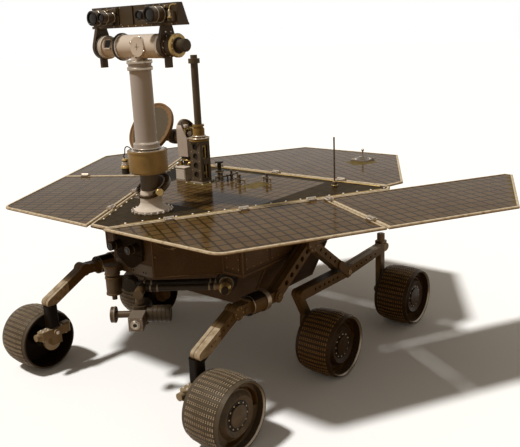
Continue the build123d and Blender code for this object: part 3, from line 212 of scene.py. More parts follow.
# Each metal: its tone and stained tone, roughness, metallic, the stains' scale and contrast, and dust,
# and where they differ from the usual ones its bump, its specular level and the stretch of its grain
METALS = {
    "gold_body": ((0.064, 0.028, 0.006), (0.030, 0.012, 0.002),
                  0.42, 0.05, 30, 0.7, 0.05, 0.3, 0.06, (1, 1, 9)),
    "foil_panel": ((0.080, 0.038, 0.009), (0.036, 0.016, 0.003),
                   0.42, 0.05, 26, 0.6, 0.05, 0.3, 0.08, (1, 1, 5)),
    "gold_arm": ((0.120, 0.067, 0.019), (0.058, 0.030, 0.008), 0.42, 0.05, 45, 0.6, 0.1, 0.15, 0.12),
    "gold_bright": ((0.40, 0.27, 0.09), (0.24, 0.14, 0.04), 0.33, 0.6, 60, 0.5, 0.05),
    "brass": ((0.275, 0.158, 0.034), (0.135, 0.072, 0.012),
              0.36, 0.15, 60, 0.9, 0.0, 0.15, 0.15, (9, 9, 0.3)),
    "bronze": ((0.070, 0.038, 0.011), (0.032, 0.016, 0.004), 0.4, 0.08, 60, 0.4, 0.05, 0.15, 0.25),
    "white_paint": ((0.60, 0.51, 0.42), (0.42, 0.34, 0.26), 0.42, 0.0, 30, 0.3, 0.1, 0.05),
    "head_paint": ((0.58, 0.49, 0.40), (0.44, 0.355, 0.275), 0.42, 0.0, 20, 0.3, 0.1, 0.05),
    "mast_paint": ((0.405, 0.360, 0.325), (0.335, 0.290, 0.255), 0.42, 0.0, 20, 0.3, 0.1, 0.05),
    "cream_paint": ((0.40, 0.33, 0.25), (0.26, 0.20, 0.13), 0.45, 0.1, 40, 0.4, 0.2),
    "gear_paint": ((0.25, 0.18, 0.10), (0.11, 0.070, 0.032), 0.45, 0.05, 50, 0.6, 0.3),
    "tool_paint": ((0.185, 0.145, 0.110), (0.115, 0.088, 0.062), 0.36, 0.2, 60, 0.4, 0.05),
    # tool_dark is near black to paint the shade on the turret's hub and grinder
    "tool_dark": ((0.034, 0.019, 0.006), (0.018, 0.010, 0.003), 0.4, 0.1, 60, 0.4, 0.05, 0.15, 0.12),
    "brown_metal": ((0.080, 0.054, 0.030), (0.045, 0.028, 0.013),
                    0.45, 0.08, 50, 0.5, 0.1, 0.15, 0.2, (1, 1, 9)),
    "camera_brown": ((0.060, 0.036, 0.013), (0.030, 0.017, 0.006), 0.42, 0.05, 50, 0.5, 0.05, 0.15, 0.25),
    "dark_metal": ((0.016, 0.009, 0.003), (0.008, 0.004, 0.001), 0.42, 0.05, 50, 0.5, 0.05, 0.15, 0.15),
    "steel": ((0.40, 0.335, 0.265), (0.22, 0.17, 0.12), 0.3, 0.75, 60, 0.5, 0.1),
    "brushed": ((0.36, 0.28, 0.19), (0.16, 0.11, 0.06), 0.32, 0.7, 60, 0.8, 0.05, 0.15, 0.15, (1, 14, 14)),
    "polished": ((0.36, 0.29, 0.215), (0.20, 0.145, 0.09), 0.34, 0.5, 60, 0.3, 0.0, 0.05),
    "dish_paint": ((0.082, 0.062, 0.038), (0.058, 0.042, 0.024), 0.55, 0.0, 30, 0.3, 0.0, 0.1, 0.05),
    "dish_rim": ((0.165, 0.080, 0.022), (0.10, 0.045, 0.011), 0.5, 0.0, 60, 0.5, 0.1),
    "tread_metal": ((0.36, 0.275, 0.175), (0.20, 0.140, 0.080), 0.42, 0.15, 120, 0.6, 0.2),
    # tread_dim: the tread blocks of the wheels in the panels' shade, darker and warmer as painted shade
    "tread_dim": ((0.34, 0.190, 0.058), (0.19, 0.100, 0.028), 0.45, 0.1, 120, 0.6, 0.1),
    "bolt_steel": ((0.36, 0.27, 0.165), (0.22, 0.155, 0.085), 0.33, 0.6, 90, 0.4, 0.1),
    "bolt_pale": ((0.64, 0.56, 0.47), (0.42, 0.35, 0.27), 0.3, 0.35, 90, 0.3, 0.1),
    "bolt_brass": ((0.32, 0.215, 0.09), (0.19, 0.12, 0.045), 0.35, 0.6, 90, 0.4, 0.1),
    "black_rubber": ((0.014, 0.010, 0.007), (0.008, 0.005, 0.003), 0.55, 0.0, 60, 0.4, 0.05),
    "black_gloss": ((0.008, 0.004, 0.002), (0.004, 0.002, 0.001), 0.30, 0.0, 40, 0.3, 0.0, 0.03, 0.08),
    "black_flat": ((0.012, 0.006, 0.002), (0.006, 0.003, 0.001), 0.65, 0.0, 40, 0.3, 0.0, 0.05, 0.03),
    "lens_glass": ((0.006, 0.004, 0.002), (0.003, 0.002, 0.001), 0.08, 0.0, 40, 0.3, 0.0, 0.0, 0.2),
}
metals = {name: metal(name, *values) for name, values in METALS.items()}

# Solar panels
GOLD_SHEET = ((0.088, 0.060, 0.014), (0.125, 0.088, 0.027))
DARK_SHEET = ((0.020, 0.012, 0.004), (0.038, 0.024, 0.009))
CELL = ((0.078, 0.042, 0.012), (0.100, 0.057, 0.019))
SOIL, ROW_GAP, COLUMN_GAP = (0.120, 0.082, 0.040), (0.012, 0.007, 0.002), (0.026, 0.015, 0.003)
FRAME_CREAM = ((0.52, 0.42, 0.285), (0.29, 0.21, 0.12))
UNDERSIDE = ((0.085, 0.050, 0.018), (0.125, 0.080, 0.032))
SHEET_TOLERANCE, FRAME_DEPTH = 0.00025, 0.0045


def panel_material(name, origin, columns, rows, column_size, row_size, bands, steps=(), spots=(),
                   sheet=GOLD_SHEET):
    """Solar panel: cells in a grid on a gold-brown sheet, inside cream frame tubes.

    origin is a corner of the grid, and columns and rows are its unit directions. bands are the widths of the
    dark gaps between columns and between rows. A cell shows where its centre is inside every half plane of
    steps, each a direction and a limit, and outside every disc of spots, each a centre and a radius.
    """
    n = Nodes(name)
    cells, gaps, centres = [], [], []
    for direction, length, band in ((columns, column_size, bands[0]), (rows, row_size, bands[1])):
        place = n.math("DIVIDE", n.along(direction, origin), length)
        cells.append(n.math("FLOOR", place))
        gaps.append(n.above(n.size(n.minus(n.minus(place, cells[-1]), 0.5)), 0.5 - band / length))
        centres.append(n.times(n.math("ADD", cells[-1], 0.5), length))
    there, spotless = 1.0, 1.0
    for shares, limit in steps:
        reach = n.math("ADD", *[n.times(centre, share) for centre, share in zip(centres, shares)])
        there = n.times(n.below(reach, limit), there)
    for spot, radius in spots:
        away = n.radius(*[n.minus(centre, at) for centre, at in zip(centres, spot)])
        spotless = n.times(n.above(away, radius), spotless)
    key = n.add("ShaderNodeCombineXYZ")
    n.link(cells[0], key.inputs[0])
    n.link(cells[1], key.inputs[1])
    white = n.add("ShaderNodeTexWhiteNoise")
    n.link(key.outputs[0], white.inputs[0])
    cell = n.mix(white.outputs["Value"], *CELL)
    cell = n.mix(n.times(n.ramp(n.noise(9.0, 5.0), 0.42, 0.72), 0.3), cell, SOIL)
    cell = n.mix(n.times(gaps[1], 0.92), cell, ROW_GAP)
    cell = n.mix(n.times(gaps[0], 0.92), cell, COLUMN_GAP)
    mottle = n.ramp(n.noise(30.0, 5.0), 0.35, 0.7)
    top = n.mix(spotless, n.mix(mottle, *GOLD_SHEET), n.mix(there, n.mix(mottle, *sheet), cell))
    # Only the flat sheet inside the frame has cells
    on_sheet = n.below(n.size(n.minus(n.z, SHEET_TOP)), SHEET_TOLERANCE)
    cream = n.clouded(FRAME_CREAM, 60.0, 5.0, 0.46, 0.72)
    edge = n.mix(n.below(n.z, SHEET_TOP - FRAME_DEPTH), cream, n.clouded(UNDERSIDE, 14.0))
    glossy = n.ramp(n.noise(25.0, 3.0), 0.3, 0.7, 0.10, 0.17)
    rough = n.blend(on_sheet, 0.42, n.blend(n.times(there, spotless), 0.5, glossy))
    n.bump(n.minus(1.0, n.times(n.math("ADD", *gaps), on_sheet)), 0.35, 0.0004)
    return n.finish(n.mix(on_sheet, edge, top), rough, 0.0, 0.012)


def wheel_material(name, axle_y, tread, disc):
    """A wheel's metal by zone: tread with painted shade between its ribs, disc with its hub, golden pocket
    floors, an inside painted near black as shade, polished lip.
    """
    # The rim's inner radius, the disc's two faces from the middle line, and the fall of the drum's shoulder
    rim_inside, disc_face, disc_back, shoulder_fall = 0.1136, 0.5795, 0.550, 0.079
    n = Nodes(name)
    tone = weathered(n, tread, tuple(c * 0.6 for c in tread), 60.0, 0.5, 0.12, 0.2)[0]
    radius = n.radius(n.minus(n.y, axle_y), n.minus(n.z, WHEEL_RADIUS))
    out = n.size(n.x)
    # Between the ribs the crowned skin is darker: painted shade between the tread blocks
    spread = n.minus(n.size(n.minus(out, WHEEL_X)), DRUM_FLAT_HALF)
    drop = n.times(n.math("MAXIMUM", spread, 0.0), shoulder_fall)
    skin = n.below(n.minus(radius, n.minus(DRUM_RADIUS, drop)), 0.0006)
    valley = n.times(skin, n.times(n.above(radius, 0.1200), n.below(spread, SHOULDER_WIDTH)))
    tone = n.mix(n.times(valley, 0.85), tone, tuple(c * 0.18 for c in tread))
    cloud = n.ramp(n.noise(26.0, 4.0), 0.3, 0.7)
    bowl = n.times(n.below(radius, rim_inside), n.above(out, disc_face))
    pocket = n.times(n.within(radius, 0.086, rim_inside), n.within(out, disc_back, disc_face))
    inside = n.times(n.below(radius, 0.1150), n.below(out, 0.5485))
    lip = n.times(n.below(radius, 0.1178), n.above(out, 0.6035))
    tone = n.mix(bowl, tone, n.mix(cloud, disc, tuple(c * 0.55 for c in disc)))
    tone = n.mix(pocket, tone, n.mix(cloud, (0.200, 0.108, 0.030), (0.095, 0.048, 0.011)))
    # Painted shade: the inside behind the disc is near black
    tone = n.mix(inside, tone, (0.016, 0.008, 0.003))
    tone = n.mix(lip, tone, (0.30, 0.24, 0.175))
    return n.finish(tone, n.blend(lip, n.blend(bowl, 0.5, 0.36), 0.32), n.blend(lip, 0.05, 0.5), 0.08)


def arm_material(name):
    """A suspension arm's gold-brown tube, cream on the rear housing: cream painted light on the sunlit front
    lower part and the rear's upward faces, painted shade on the pocket floors, dark on the fold motor.
    """
    rear_housing_y, rear_cap_z = 0.466, 0.3738
    n = Nodes(name)
    tone, stains = weathered(n, (0.115, 0.064, 0.018), (0.055, 0.028, 0.007), 45.0, 0.6, 0.12, 0.15)
    cream = n.clouded(((0.38, 0.30, 0.20), (0.22, 0.155, 0.085)), 50.0, 5.0, 0.4, 0.7)
    # Painted light: cream where the sun falls on the front arm below the deck's shadow, and a paler cream
    # painted highlight on the rear's upward faces
    front_low = n.times(n.below(n.y, -0.668), n.above(n.z, 0.290))
    painted_light_rear_top = n.times(n.above(n.y, 0.19), n.above(n.z, 0.300))
    tone = n.mix(front_low, tone, cream)
    tone = n.mix(n.times(painted_light_rear_top, n.above(n.upward(), 0.55)), tone, n.mix(0.6, cream, (0.72, 0.60, 0.44)))
    # The fold motor and the front steering housing are black, and the floors of the pockets are darker:
    # painted shade
    pocket = n.within(n.size(n.x), 0.4165, 0.4225)
    along = n.along((0, -0.998, 0.061), (0, *KNEE))
    off = n.size(n.along((0, 0.061, 0.998), (0, *KNEE)))
    motor = n.times(n.within(along, 0.084, 0.160), n.above(off, 0.0236))
    housing = n.times(n.below(n.y, -0.7365), n.below(n.z, 0.2935))
    tone = n.mix(n.times(pocket, 0.55), tone, (0.040, 0.022, 0.006))
    tone = n.mix(n.math("MAXIMUM", motor, housing), tone, (0.0075, 0.004, 0.0015))
    tone = n.mix(n.times(n.above(n.y, rear_housing_y), n.below(n.z, 0.3735)), tone, cream)
    tone = n.mix(n.times(n.above(n.y, rear_housing_y), n.above(n.z, rear_cap_z)), tone, (0.26, 0.20, 0.14))
    return n.finish(tone, n.ramp(stains, 0.0, 1.0, 0.42, 0.55), 0.03, 0.06)


def zoned(name, colour, dark, zones):
    """A metal with other tones in the boxes of its zones, each a colour and its limits on X, Y and Z."""
    n = Nodes(name)
    tone, stains = weathered(n, colour, dark, 50.0, 0.5, 0.1, 0.12, (1, 1, 9))
    cloud = n.ramp(n.noise(35.0, 4.0), 0.35, 0.7)
    for zone_colour, limits in zones:
        inside = 1.0
        for value, limit in zip((n.x, n.y, n.z), limits):
            if limit:
                inside = n.times(n.within(value, *limit), inside)
        tone = n.mix(inside, tone, n.mix(n.times(cloud, 0.4), zone_colour, dark))
    return n.finish(tone, n.ramp(stains, 0.0, 1.0, 0.37, 0.52), 0.05, 0.12)


# Materials of the solids
THICK, THIN = 0.0041, 0.0034
run_left, across_left = (math.sin(SWEEP), math.cos(SWEEP), 0.0), (math.cos(SWEEP), -math.sin(SWEEP), 0.0)
run_right, across_right = (-run_left[0], run_left[1], 0.0), (-across_left[0], across_left[1], 0.0)
corner_left, corner_right = tuple(CROSS_HINGE), (-CROSS_HINGE.x, CROSS_HINGE.y, 0.0)
GOLD, BROWN, BROWN_DARK = (0.28, 0.165, 0.042), (0.085, 0.058, 0.033), (0.048, 0.030, 0.015)
look = {
    "deck": panel_material(
        "deck_cells", (0.0, 0.0, 0.0), (1, 0, 0), (0, 1, 0), 0.0395, 0.061, (THICK, THIN),
        steps=(((1, 0), 0.335), ((-1, 0), 0.335), ((0, 1), 0.19), ((0, -1), 0.42)),
        spots=((TOWER[:2], 0.062), ((0.08, 0.0), 0.062)), sheet=DARK_SHEET),
    "wing_inner_left": panel_material("wing_cells_a", corner_left, run_left, across_left, 0.0405, 0.055,
                                      (THICK, THIN), steps=(((-0.866, 0.5), 0.745),)),
    "wing_inner_right": panel_material("wing_cells_b", corner_right, across_right, run_right, 0.055, 0.0395,
                                       (THIN, THICK), steps=(((0.5, -0.866), 0.745),)),
    "wing_outer_left": panel_material("wing_cells_c", corner_left, run_left, across_left, 0.0430, 0.0565,
                                      (THICK, THIN), steps=(((1, 0.85), 0.90),)),
    "wing_outer_right": panel_material("wing_cells_d", corner_right, across_right, run_right, 0.055, 0.0395,
                                       (THIN, THICK), steps=(((0.85, 1), 0.90),)),
    "tail_panel": panel_material("tail_cells", (0.0, 0.27, 0.0), across_left, run_left, 0.054, 0.0415,
                                 (THIN, THICK), spots=(((0.02, 0.43), 0.06),)),
    "antenna_tower": zoned("tower_paint", BROWN, BROWN_DARK,
                           [(GOLD, (None, None, (0.8842, 0.9600))),
                            ((0.36, 0.30, 0.23), (None, None, (0.6990, 0.7042)))]),
    "antenna_pole": zoned("pole_paint", BROWN, BROWN_DARK, [(GOLD, (None, None, (0.880, 0.9552)))]),
    "dish_post": zoned("post_paint", (0.05, 0.032, 0.013), (0.02, 0.012, 0.004),
                       [((0.55, 0.46, 0.37), (None, (-0.090, -0.0455), (0.6985, 0.7570))),
                        (GOLD, (None, (-0.045, 0.05), (0.783, 0.801)))]),
    "dish_hood": zoned("hood_paint", (0.50, 0.41, 0.335), (0.36, 0.28, 0.21),
                       [((0.17, 0.13, 0.09), ((-0.402, -0.3215), None, None)),
                        ((0.045, 0.028, 0.012), ((-0.3165, -0.2630), (-0.0575, 0.0175), (0.812, 0.990)))]),
    "camera_bar": zoned("bar_paint", (0.054, 0.035, 0.017), (0.028, 0.016, 0.007),
                        [((0.075, 0.042, 0.012), (None, (-0.560, -0.5405), (1.3700, 1.3820)))]),
    "forearm": zoned("forearm_paint", (0.022, 0.013, 0.005), (0.012, 0.006, 0.002),
                     [((0.30, 0.22, 0.13), ((0.262, 0.318), (-0.500, -0.425), None))]),
}
# The nodes that each plain metal covers
PLAIN = {
    "gold_body": ("body_box", "nose_box"), "steel": ("panel_hinges", "sundial"), "brass": ("mast_drive",),
    "black_flat": ("hazard_cameras_front", "hazard_cameras_rear"), "dish_paint": ("dish",),
    "bronze": ("arm_mount", "mast_ring", "shoulder", "wrist", "tool_contact"), "mast_paint": ("mast_tube",),
    "head_paint": ("mast_base", "head_yoke"), "camera_brown": ("pan_cameras",),
    "tool_paint": ("tool_microscope",),
    "brown_metal": ("nav_cameras", "whip_antenna"), "dark_metal": ("upper_arm", "tool_sensor"),
    # The turret's hub and grinder take tool_dark, a painted shade
    "tool_dark": ("turret_hub", "tool_grinder"), "gear_paint": ("knuckle_front_left", "knuckle_front_right"),
    "gold_arm": ("knuckle_rear_left", "knuckle_rear_right"),
}
for metal_name, names in PLAIN.items():
    for name in names:
        look[name] = metals[metal_name]
# Lit wheels in front and on the right are grey-brown, and those in the panels' shade get darker tones, a
# painted shade
SHADED = (("middle", "left"), ("rear", "left"))
for side in SIDES:
    look["rocker_" + side] = look["bogie_" + side] = arm_material("arm_paint_" + side)
    for axle, axle_y in AXLES.items():
        shaded = (axle, side) in SHADED
        look["wheel_" + axle + "_" + side] = wheel_material(
            "wheel_metal_" + axle + "_" + side, axle_y,
            (0.036, 0.016, 0.004) if shaded else (0.056, 0.040, 0.024),
            (0.052, 0.026, 0.007) if shaded else (0.160, 0.122, 0.082))
for name, material in look.items():
    mesh = nodes[name].data
    mesh.materials.clear()
    mesh.materials.append(material)


# Small fittings, made as joined meshes
def square_to(axis):
    """An axis of length one, and two directions square to it."""
    axis = Vector(axis).normalized()
    side = axis.orthogonal().normalized()
    return axis, side, axis.cross(side)


def around(centre, axis, radius, count, turn=0.0):
    """Points spaced evenly on a circle, with the direction out to each."""
    axis, side, other = square_to(axis)
    for i in range(count):
        angle = turn + math.tau * i / count
        out = side * math.cos(angle) + other * math.sin(angle)
        yield Vector(centre) + out * radius, out


class Piece:
    """One joined mesh that rides on a body. All are finished together, in the order they were begun."""
    begun = []

    def __init__(self, name, metal_name, slot, body="chassis", sharp=35):
        self.name, self.slot, self.body, self.sharp = name, slot, body, math.radians(sharp)
        self.material = metals[metal_name]
        self.mesh = bmesh.new()
        Piece.begun.append(self)

    def faces(self, points, faces):
        made = [self.mesh.verts.new(p) for p in points]
        for face in faces:
            self.mesh.faces.new([made[i] for i in face])

    def circle(self, centre, side, other, radius, segments):
        """The points of a ring, or one point where its radius is zero."""
        if radius <= 0:
            return [self.mesh.verts.new(centre)]
        angles = [math.tau * i / segments for i in range(segments)]
        return [self.mesh.verts.new(centre + side * (radius * math.cos(a)) + other * (radius * math.sin(a)))
                for a in angles]

    def join(self, rings):
        """Faces from each ring to the next, where a ring of one point is a tip."""
        for low, high in zip(rings, rings[1:]):
            count = max(len(low), len(high))
            for i in range(count):
                j = (i + 1) % count
                if len(low) == 1:
                    self.mesh.faces.new((low[0], high[j], high[i]))
                elif len(high) == 1:
                    self.mesh.faces.new((low[i], low[j], high[0]))
                else:
                    self.mesh.faces.new((low[i], low[j], high[j], high[i]))

    def turned(self, start, axis, profile, segments=24):
        """A turned form: profile holds (distance along the axis, radius), closed to the axis at radius 0."""
        axis, side, other = square_to(axis)
        self.join([self.circle(Vector(start) + axis * distance, side, other, radius, segments)
                   for distance, radius in profile])

    def rod(self, start, end, radius, segments):
        start, end = Vector(start), Vector(end)
        length = (end - start).length
        edge = min(radius * 0.2, length / 3)
        self.turned(start, end - start, [(0, 0), (0, radius - edge), (edge, radius), (length - edge, radius),
                                         (length, radius - edge), (length, 0)], segments)

    def bolt(self, start, axis, radius, height):
        self.turned(start, axis, [(-0.0006, radius), (height * 0.6, radius), (height, radius * 0.62),
                                  (height, 0)], 6)

    def bolts(self, centre, axis, circle, count, radius, height, turn=0.0):
        """Bolt heads on a circle."""
        for point, _ in around(centre, axis, circle, count, turn):
            self.bolt(point, axis, radius, height)

    def studs(self, centre, axis, circle, count, profile, segments, turn=0.0):
        """Turned studs on a circle."""
        for point, _ in around(centre, axis, circle, count, turn):
            self.turned(point, axis, profile, segments)

    def ring(self, start, axis, inner, outer, height, segments=48, edge=0.001):
        self.turned(start, axis, [(0, inner), (0, outer - edge), (edge, outer), (height - edge, outer),
                                  (height, outer - edge), (height, inner + edge), (height - edge, inner),
                                  (0, inner)], segments)

    def box(self, centre, size, bevel, axes=(X, Y, Z)):
        """A box with chamfered edges all round."""
        half = [s / 2 for s in size]
        made = bmesh.ops.create_cube(self.mesh, size=1.0)["verts"]
        turn = Matrix([list(a) for a in axes]).transposed()
        for v in made:
            v.co = Vector(centre) + turn @ Vector([c * 2 * h for c, h in zip(v.co, half)])
        edges = list({e for v in made for e in v.link_edges})
        bmesh.ops.bevel(self.mesh, geom=edges, offset=min(bevel, min(half) * 0.6), segments=1, affect="EDGES")

    def tube(self, points, radius, segments, smooth):
        """A tube along a smooth line through the points."""
        points = [Vector(p) for p in points]
        line = []
        last = len(points) - 1
        for i in range(last):
            p0, p1, p2, p3 = points[max(i - 1, 0)], points[i], points[i + 1], points[min(i + 2, last)]
            for step in range(smooth):
                t = step / smooth
                line.append(0.5 * ((2 * p1) + (p2 - p0) * t + (2 * p0 - 5 * p1 + 4 * p2 - p3) * t * t
                                   + (3 * p1 - p0 - 3 * p2 + p3) * t ** 3))
        line.append(points[-1])
        rings = []
        side = (line[1] - line[0]).orthogonal().normalized()
        for i, p in enumerate(line):
            ahead = (line[min(i + 1, len(line) - 1)] - line[max(i - 1, 0)]).normalized()
            side = (side - ahead * side.dot(ahead)).normalized()
            rings.append(self.circle(p, side, ahead.cross(side), radius, segments))
        self.join(rings)
        self.mesh.faces.new(rings[0][::-1])
        self.mesh.faces.new(rings[-1])

    def finish(self):
        mesh = bpy.data.meshes.new(self.name)
        bmesh.ops.recalc_face_normals(self.mesh, faces=self.mesh.faces)
        for face in self.mesh.faces:
            face.smooth = True
        for edge in self.mesh.edges:
            if len(edge.link_faces) == 2 and edge.calc_face_angle(0) > self.sharp:
                edge.smooth = False
        self.mesh.to_mesh(mesh)
        self.mesh.free()
        mesh.materials.append(self.material)
        obj = bpy.data.objects.new(self.name, mesh)
        bpy.context.scene.collection.objects.link(obj)
        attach(obj, self.body)


# Wheels: two rows of small blocks in each valley of the tread, the hub's ring and bolts, and the polished rim
RIBS, BLOCKS_ACROSS, BLOCK_PITCH = 40, 14, 0.0092
ROW_OFFSET, ROW_RADIUS = 0.0029, 0.128
BLOCK_HEIGHT, BLOCK_SINK = 0.0027, 0.0004
HUB_FACE_X, LIP_X = 0.588, 0.6032
HUB_BOLT = [(0, 0.0034), (0.0016, 0.0032), (0.003, 0.0018), (0.0034, 0)]
LIP = [(0, 0.1138), (0.0062, 0.1176), (0.0067, 0.1190), (0.0064, 0.1204), (0.0052, 0.1213)]


def crown(offset):
    """Radius of the drum between its ribs at an offset from its middle."""
    past = max(abs(offset) - DRUM_FLAT_HALF, 0)
    return DRUM_RADIUS - past / SHOULDER_WIDTH * SHOULDER_DROP


def tread_blocks(tread, centre):
    for rib in range(RIBS):
        for row in (-ROW_OFFSET, ROW_OFFSET):
            angle = math.radians(90 + 360 / RIBS * (rib + 0.5)) + row / ROW_RADIUS
            out = Vector((0, math.cos(angle), math.sin(angle)))
            along = Vector((0, -math.sin(angle), math.cos(angle)))
            for column in range(BLOCKS_ACROSS):
                offset = (column - (BLOCKS_ACROSS - 1) / 2) * BLOCK_PITCH
                foot = crown(offset) - BLOCK_SINK
                head = crown(offset) + BLOCK_HEIGHT * (1 if abs(offset) < 0.03 else 0.75)
                corners = [centre + X * (offset + sx * half_x) + out * radius + along * (sy * half_y)
                           for radius, half_x, half_y in ((foot, 0.0029, 0.0023), (head, 0.0021, 0.0017))
                           for sx, sy in ((-1, -1), (1, -1), (1, 1), (-1, 1))]
                tread.faces(corners, [(4, 5, 6, 7), (0, 1, 5, 4), (1, 2, 6, 5), (2, 3, 7, 6), (3, 0, 4, 7)])


for side_name, side in SIDES.items():
    for axle, axle_y in AXLES.items():
        tag = axle + "_" + side_name
        body = "wheel_" + tag + "_body"
        # The wheels in the panels' shade get the dimmer blocks, a painted shade
        tread_name = "tread_dim" if (axle, side_name) in SHADED else "tread_metal"
        tread = Piece("tread_" + tag, tread_name, "wheel_metal", body, 20)
        tread_blocks(tread, Vector((side * WHEEL_X, axle_y, WHEEL_RADIUS)))
        hub = Piece("hub_ring_" + tag, "black_gloss", "dark_metal", body)
        hub.ring((side * HUB_FACE_X, axle_y, WHEEL_RADIUS), X * side, 0.0385, 0.0530, 0.0010, 48, 0.0003)
        bolts = Piece("hub_bolts_" + tag, "bolt_steel", "silver", body)
        bolts.studs((side * (HUB_FACE_X + 0.0006), axle_y, WHEEL_RADIUS), X * side, 0.0457, 12, HUB_BOLT, 10,
                    0.13)
        lip = Piece("rim_edge_" + tag, "polished", "silver", body)
        lip.turned((side * LIP_X, axle_y, WHEEL_RADIUS), X * side, LIP, 96)

# Steering knuckles and suspension: bolt heads, pins and caps
GEARBOX_X, DRUM_X, ARM_FACE_X, KNEE_FACE_X, ARM_X, REAR_ARM_X = 0.409, 0.426, 0.454, 0.458, 0.425, 0.415
for side_name, side in SIDES.items():
    front_y, rear_y = AXLES["front"], AXLES["rear"]
    outward = X * side
    body = "knuckle_front_" + side_name + "_body"
    gearbox = Piece("gearbox_bolts_" + side_name, "bolt_pale", "silver", body)
    for dx in (-0.009, 0.009):
        for dy in (-0.058, -0.034, 0.034, 0.076):
            gearbox.turned((side * GEARBOX_X + dx, front_y + dy * 0.95, 0.199), Z,
                           [(-0.001, 0.0045), (0.002, 0.0045), (0.004, 0.003), (0.0048, 0)], 12)
    for dy in (-0.055, 0.055):
        gearbox.turned((side * GEARBOX_X, front_y + dy, 0.163), -Z,
                       [(-0.002, 0.006), (0.006, 0.006), (0.009, 0.004), (0.01, 0)], 14)
    gearbox.turned((side * 0.384, front_y, 0.181), -outward,
                   [(-0.002, 0.0085), (0.003, 0.008), (0.006, 0.004), (0.0062, 0)], 20)
    for axle in ("front", "rear"):
        drum = Piece("hub_drum_" + axle + "_" + side_name, "cream_paint", "white_paint",
                     "knuckle_" + axle + "_" + side_name + "_body")
        drum.turned((side * DRUM_X, AXLES[axle], WHEEL_RADIUS), -outward,
                    [(-0.013, 0.0375), (-0.001, 0.0375), (0.0, 0.0365), (0.0006, 0.030), (0.0004, 0)], 48)
    rocker = Piece("rocker_fittings_" + side_name, "bolt_brass", "arm_gold")
    for x, joint, circle, count, radius, height in (
            (ARM_FACE_X, PIVOT, 0.027, 8, 0.003, 0.0028), (ARM_FACE_X, FOLD, 0.019, 6, 0.0026, 0.0024),
            (KNEE_FACE_X, KNEE, 0.009, 6, 0.0016, 0.0012), (ARM_FACE_X, BOGIE, 0.0155, 6, 0.0022, 0.0024)):
        rocker.bolts((side * x, *joint), outward, circle, count, radius, height, 0.2)
    rocker.ring((side * ARM_FACE_X, *BOGIE), outward, 0.004, 0.0105, 0.003, 24, 0.0006)
    # The fold motor's bright brushed rings, and the small fork with its pins
    knee, fold = Vector((side * ARM_X, *KNEE)), Vector((side * ARM_X, *FOLD))
    start = knee + (fold - knee) * 0.26
    run = (fold - knee).normalized()
    bands = Piece("fold_ring_" + side_name, "brushed", "silver")
    bands.ring(start + run * 0.001, run, 0.036, 0.0414, 0.022, 64, 0.0006)
    bands.ring(start + run * 0.090, run, 0.030, 0.0384, 0.004, 64, 0.0006)
    fork = Piece("fold_fork_" + side_name, "gold_arm", "arm_gold")
    across = run.cross(outward).normalized()
    eye = start + run * 0.104
    for dx in (-0.017, 0.017):
        fork.box(eye + X * dx + run * 0.012, (0.006, 0.046, 0.040), 0.003, (X, run, across))
    fork.rod(eye - X * 0.026 + run * 0.022, eye + X * 0.026 + run * 0.022, 0.008, 20)
    fork.rod(eye + across * 0.024 - X * 0.012, eye + across * 0.024 + X * 0.020, 0.0065, 16)
    cap = Piece("rear_cap_" + side_name, "bolt_pale", "silver")
    cap.bolts((side * REAR_ARM_X, rear_y, 0.406), Z, 0.012, 6, 0.0022, 0.0022)

# Camera mast: the bell's bolts, the ring's ribs, the drive's lid and the mast's collar
foot = Piece("mast_base_bolts", "bolt_pale", "silver")
for point, out in around(MAST + Z * SHEET_TOP, Z, 0.0765, 20):
    foot.box(point + Z * 0.0025 - out * 0.004, (0.013, 0.006, 0.005), 0.0012, (out, Z.cross(out), Z))
    foot.turned(point + Z * 0.0045, Z, [(0, 0.0036), (0.003, 0.0034), (0.005, 0.002), (0.0054, 0)], 10)
LEAN = math.radians(32)
ring_axis = Vector((0, -math.sin(LEAN), math.cos(LEAN)))
ring_centre = Vector((0, -0.514, 0.792))
ribs = Piece("mast_ring_ribs", "bronze", "bronze")
for point, out in around(ring_centre + ring_axis * 0.002, ring_axis, 0.057, 22):
    ribs.box(point + ring_axis * 0.0022, (0.014, 0.003, 0.0044), 0.0008,
             (out, ring_axis.cross(out), ring_axis))
ribs.bolts(ring_centre + ring_axis * 0.007, ring_axis, 0.067, 22, 0.0018, 0.002, 0.14)
arc = Piece("mast_ring_bright_ring", "polished", "silver")
arc.ring(ring_centre + ring_axis * 0.0066, ring_axis, 0.0455, 0.0505, 0.0022, 64, 0.0006)
DRIVE_TOP = 0.9320
lid = Piece("mast_drive_lid", "steel", "silver")
lid.ring(MAST + Z * DRIVE_TOP, Z, 0.0525, 0.0655, 0.0022, 72, 0.0006)
lid.bolts(MAST + Z * DRIVE_TOP, Z, 0.0695, 24, 0.0026, 0.0026)
collar = Piece("mast_collar_ring", "steel", "silver", "mast")
collar.turned(MAST + Z * 0.9372, Z, [(0, 0.0495), (0.003, 0.0500), (0.006, 0.0478), (0.012, 0.0462),
                                     (0.020, 0.0440), (0.026, 0.0404)], 72)
# A small gold knob on a dark stalk stands at the ring's left
KNOB, KNOB_AXIS = Vector((0.052, -0.540, 0.778)), Vector((0.85, -0.45, 0.10))
knob = Piece("mast_knob", "gold_bright", "gold_body")
knob.turned(KNOB, KNOB_AXIS, [(0.010, 0), (0.010, 0.0125), (0.012, 0.0140), (0.024, 0.0140), (0.026, 0.0125),
                              (0.026, 0)], 28)
stalk = Piece("mast_knob_stalk", "black_rubber", "dark_metal")
stalk.turned(KNOB, KNOB_AXIS, [(-0.014, 0), (-0.014, 0.0100), (0.011, 0.0100), (0.011, 0)], 24)
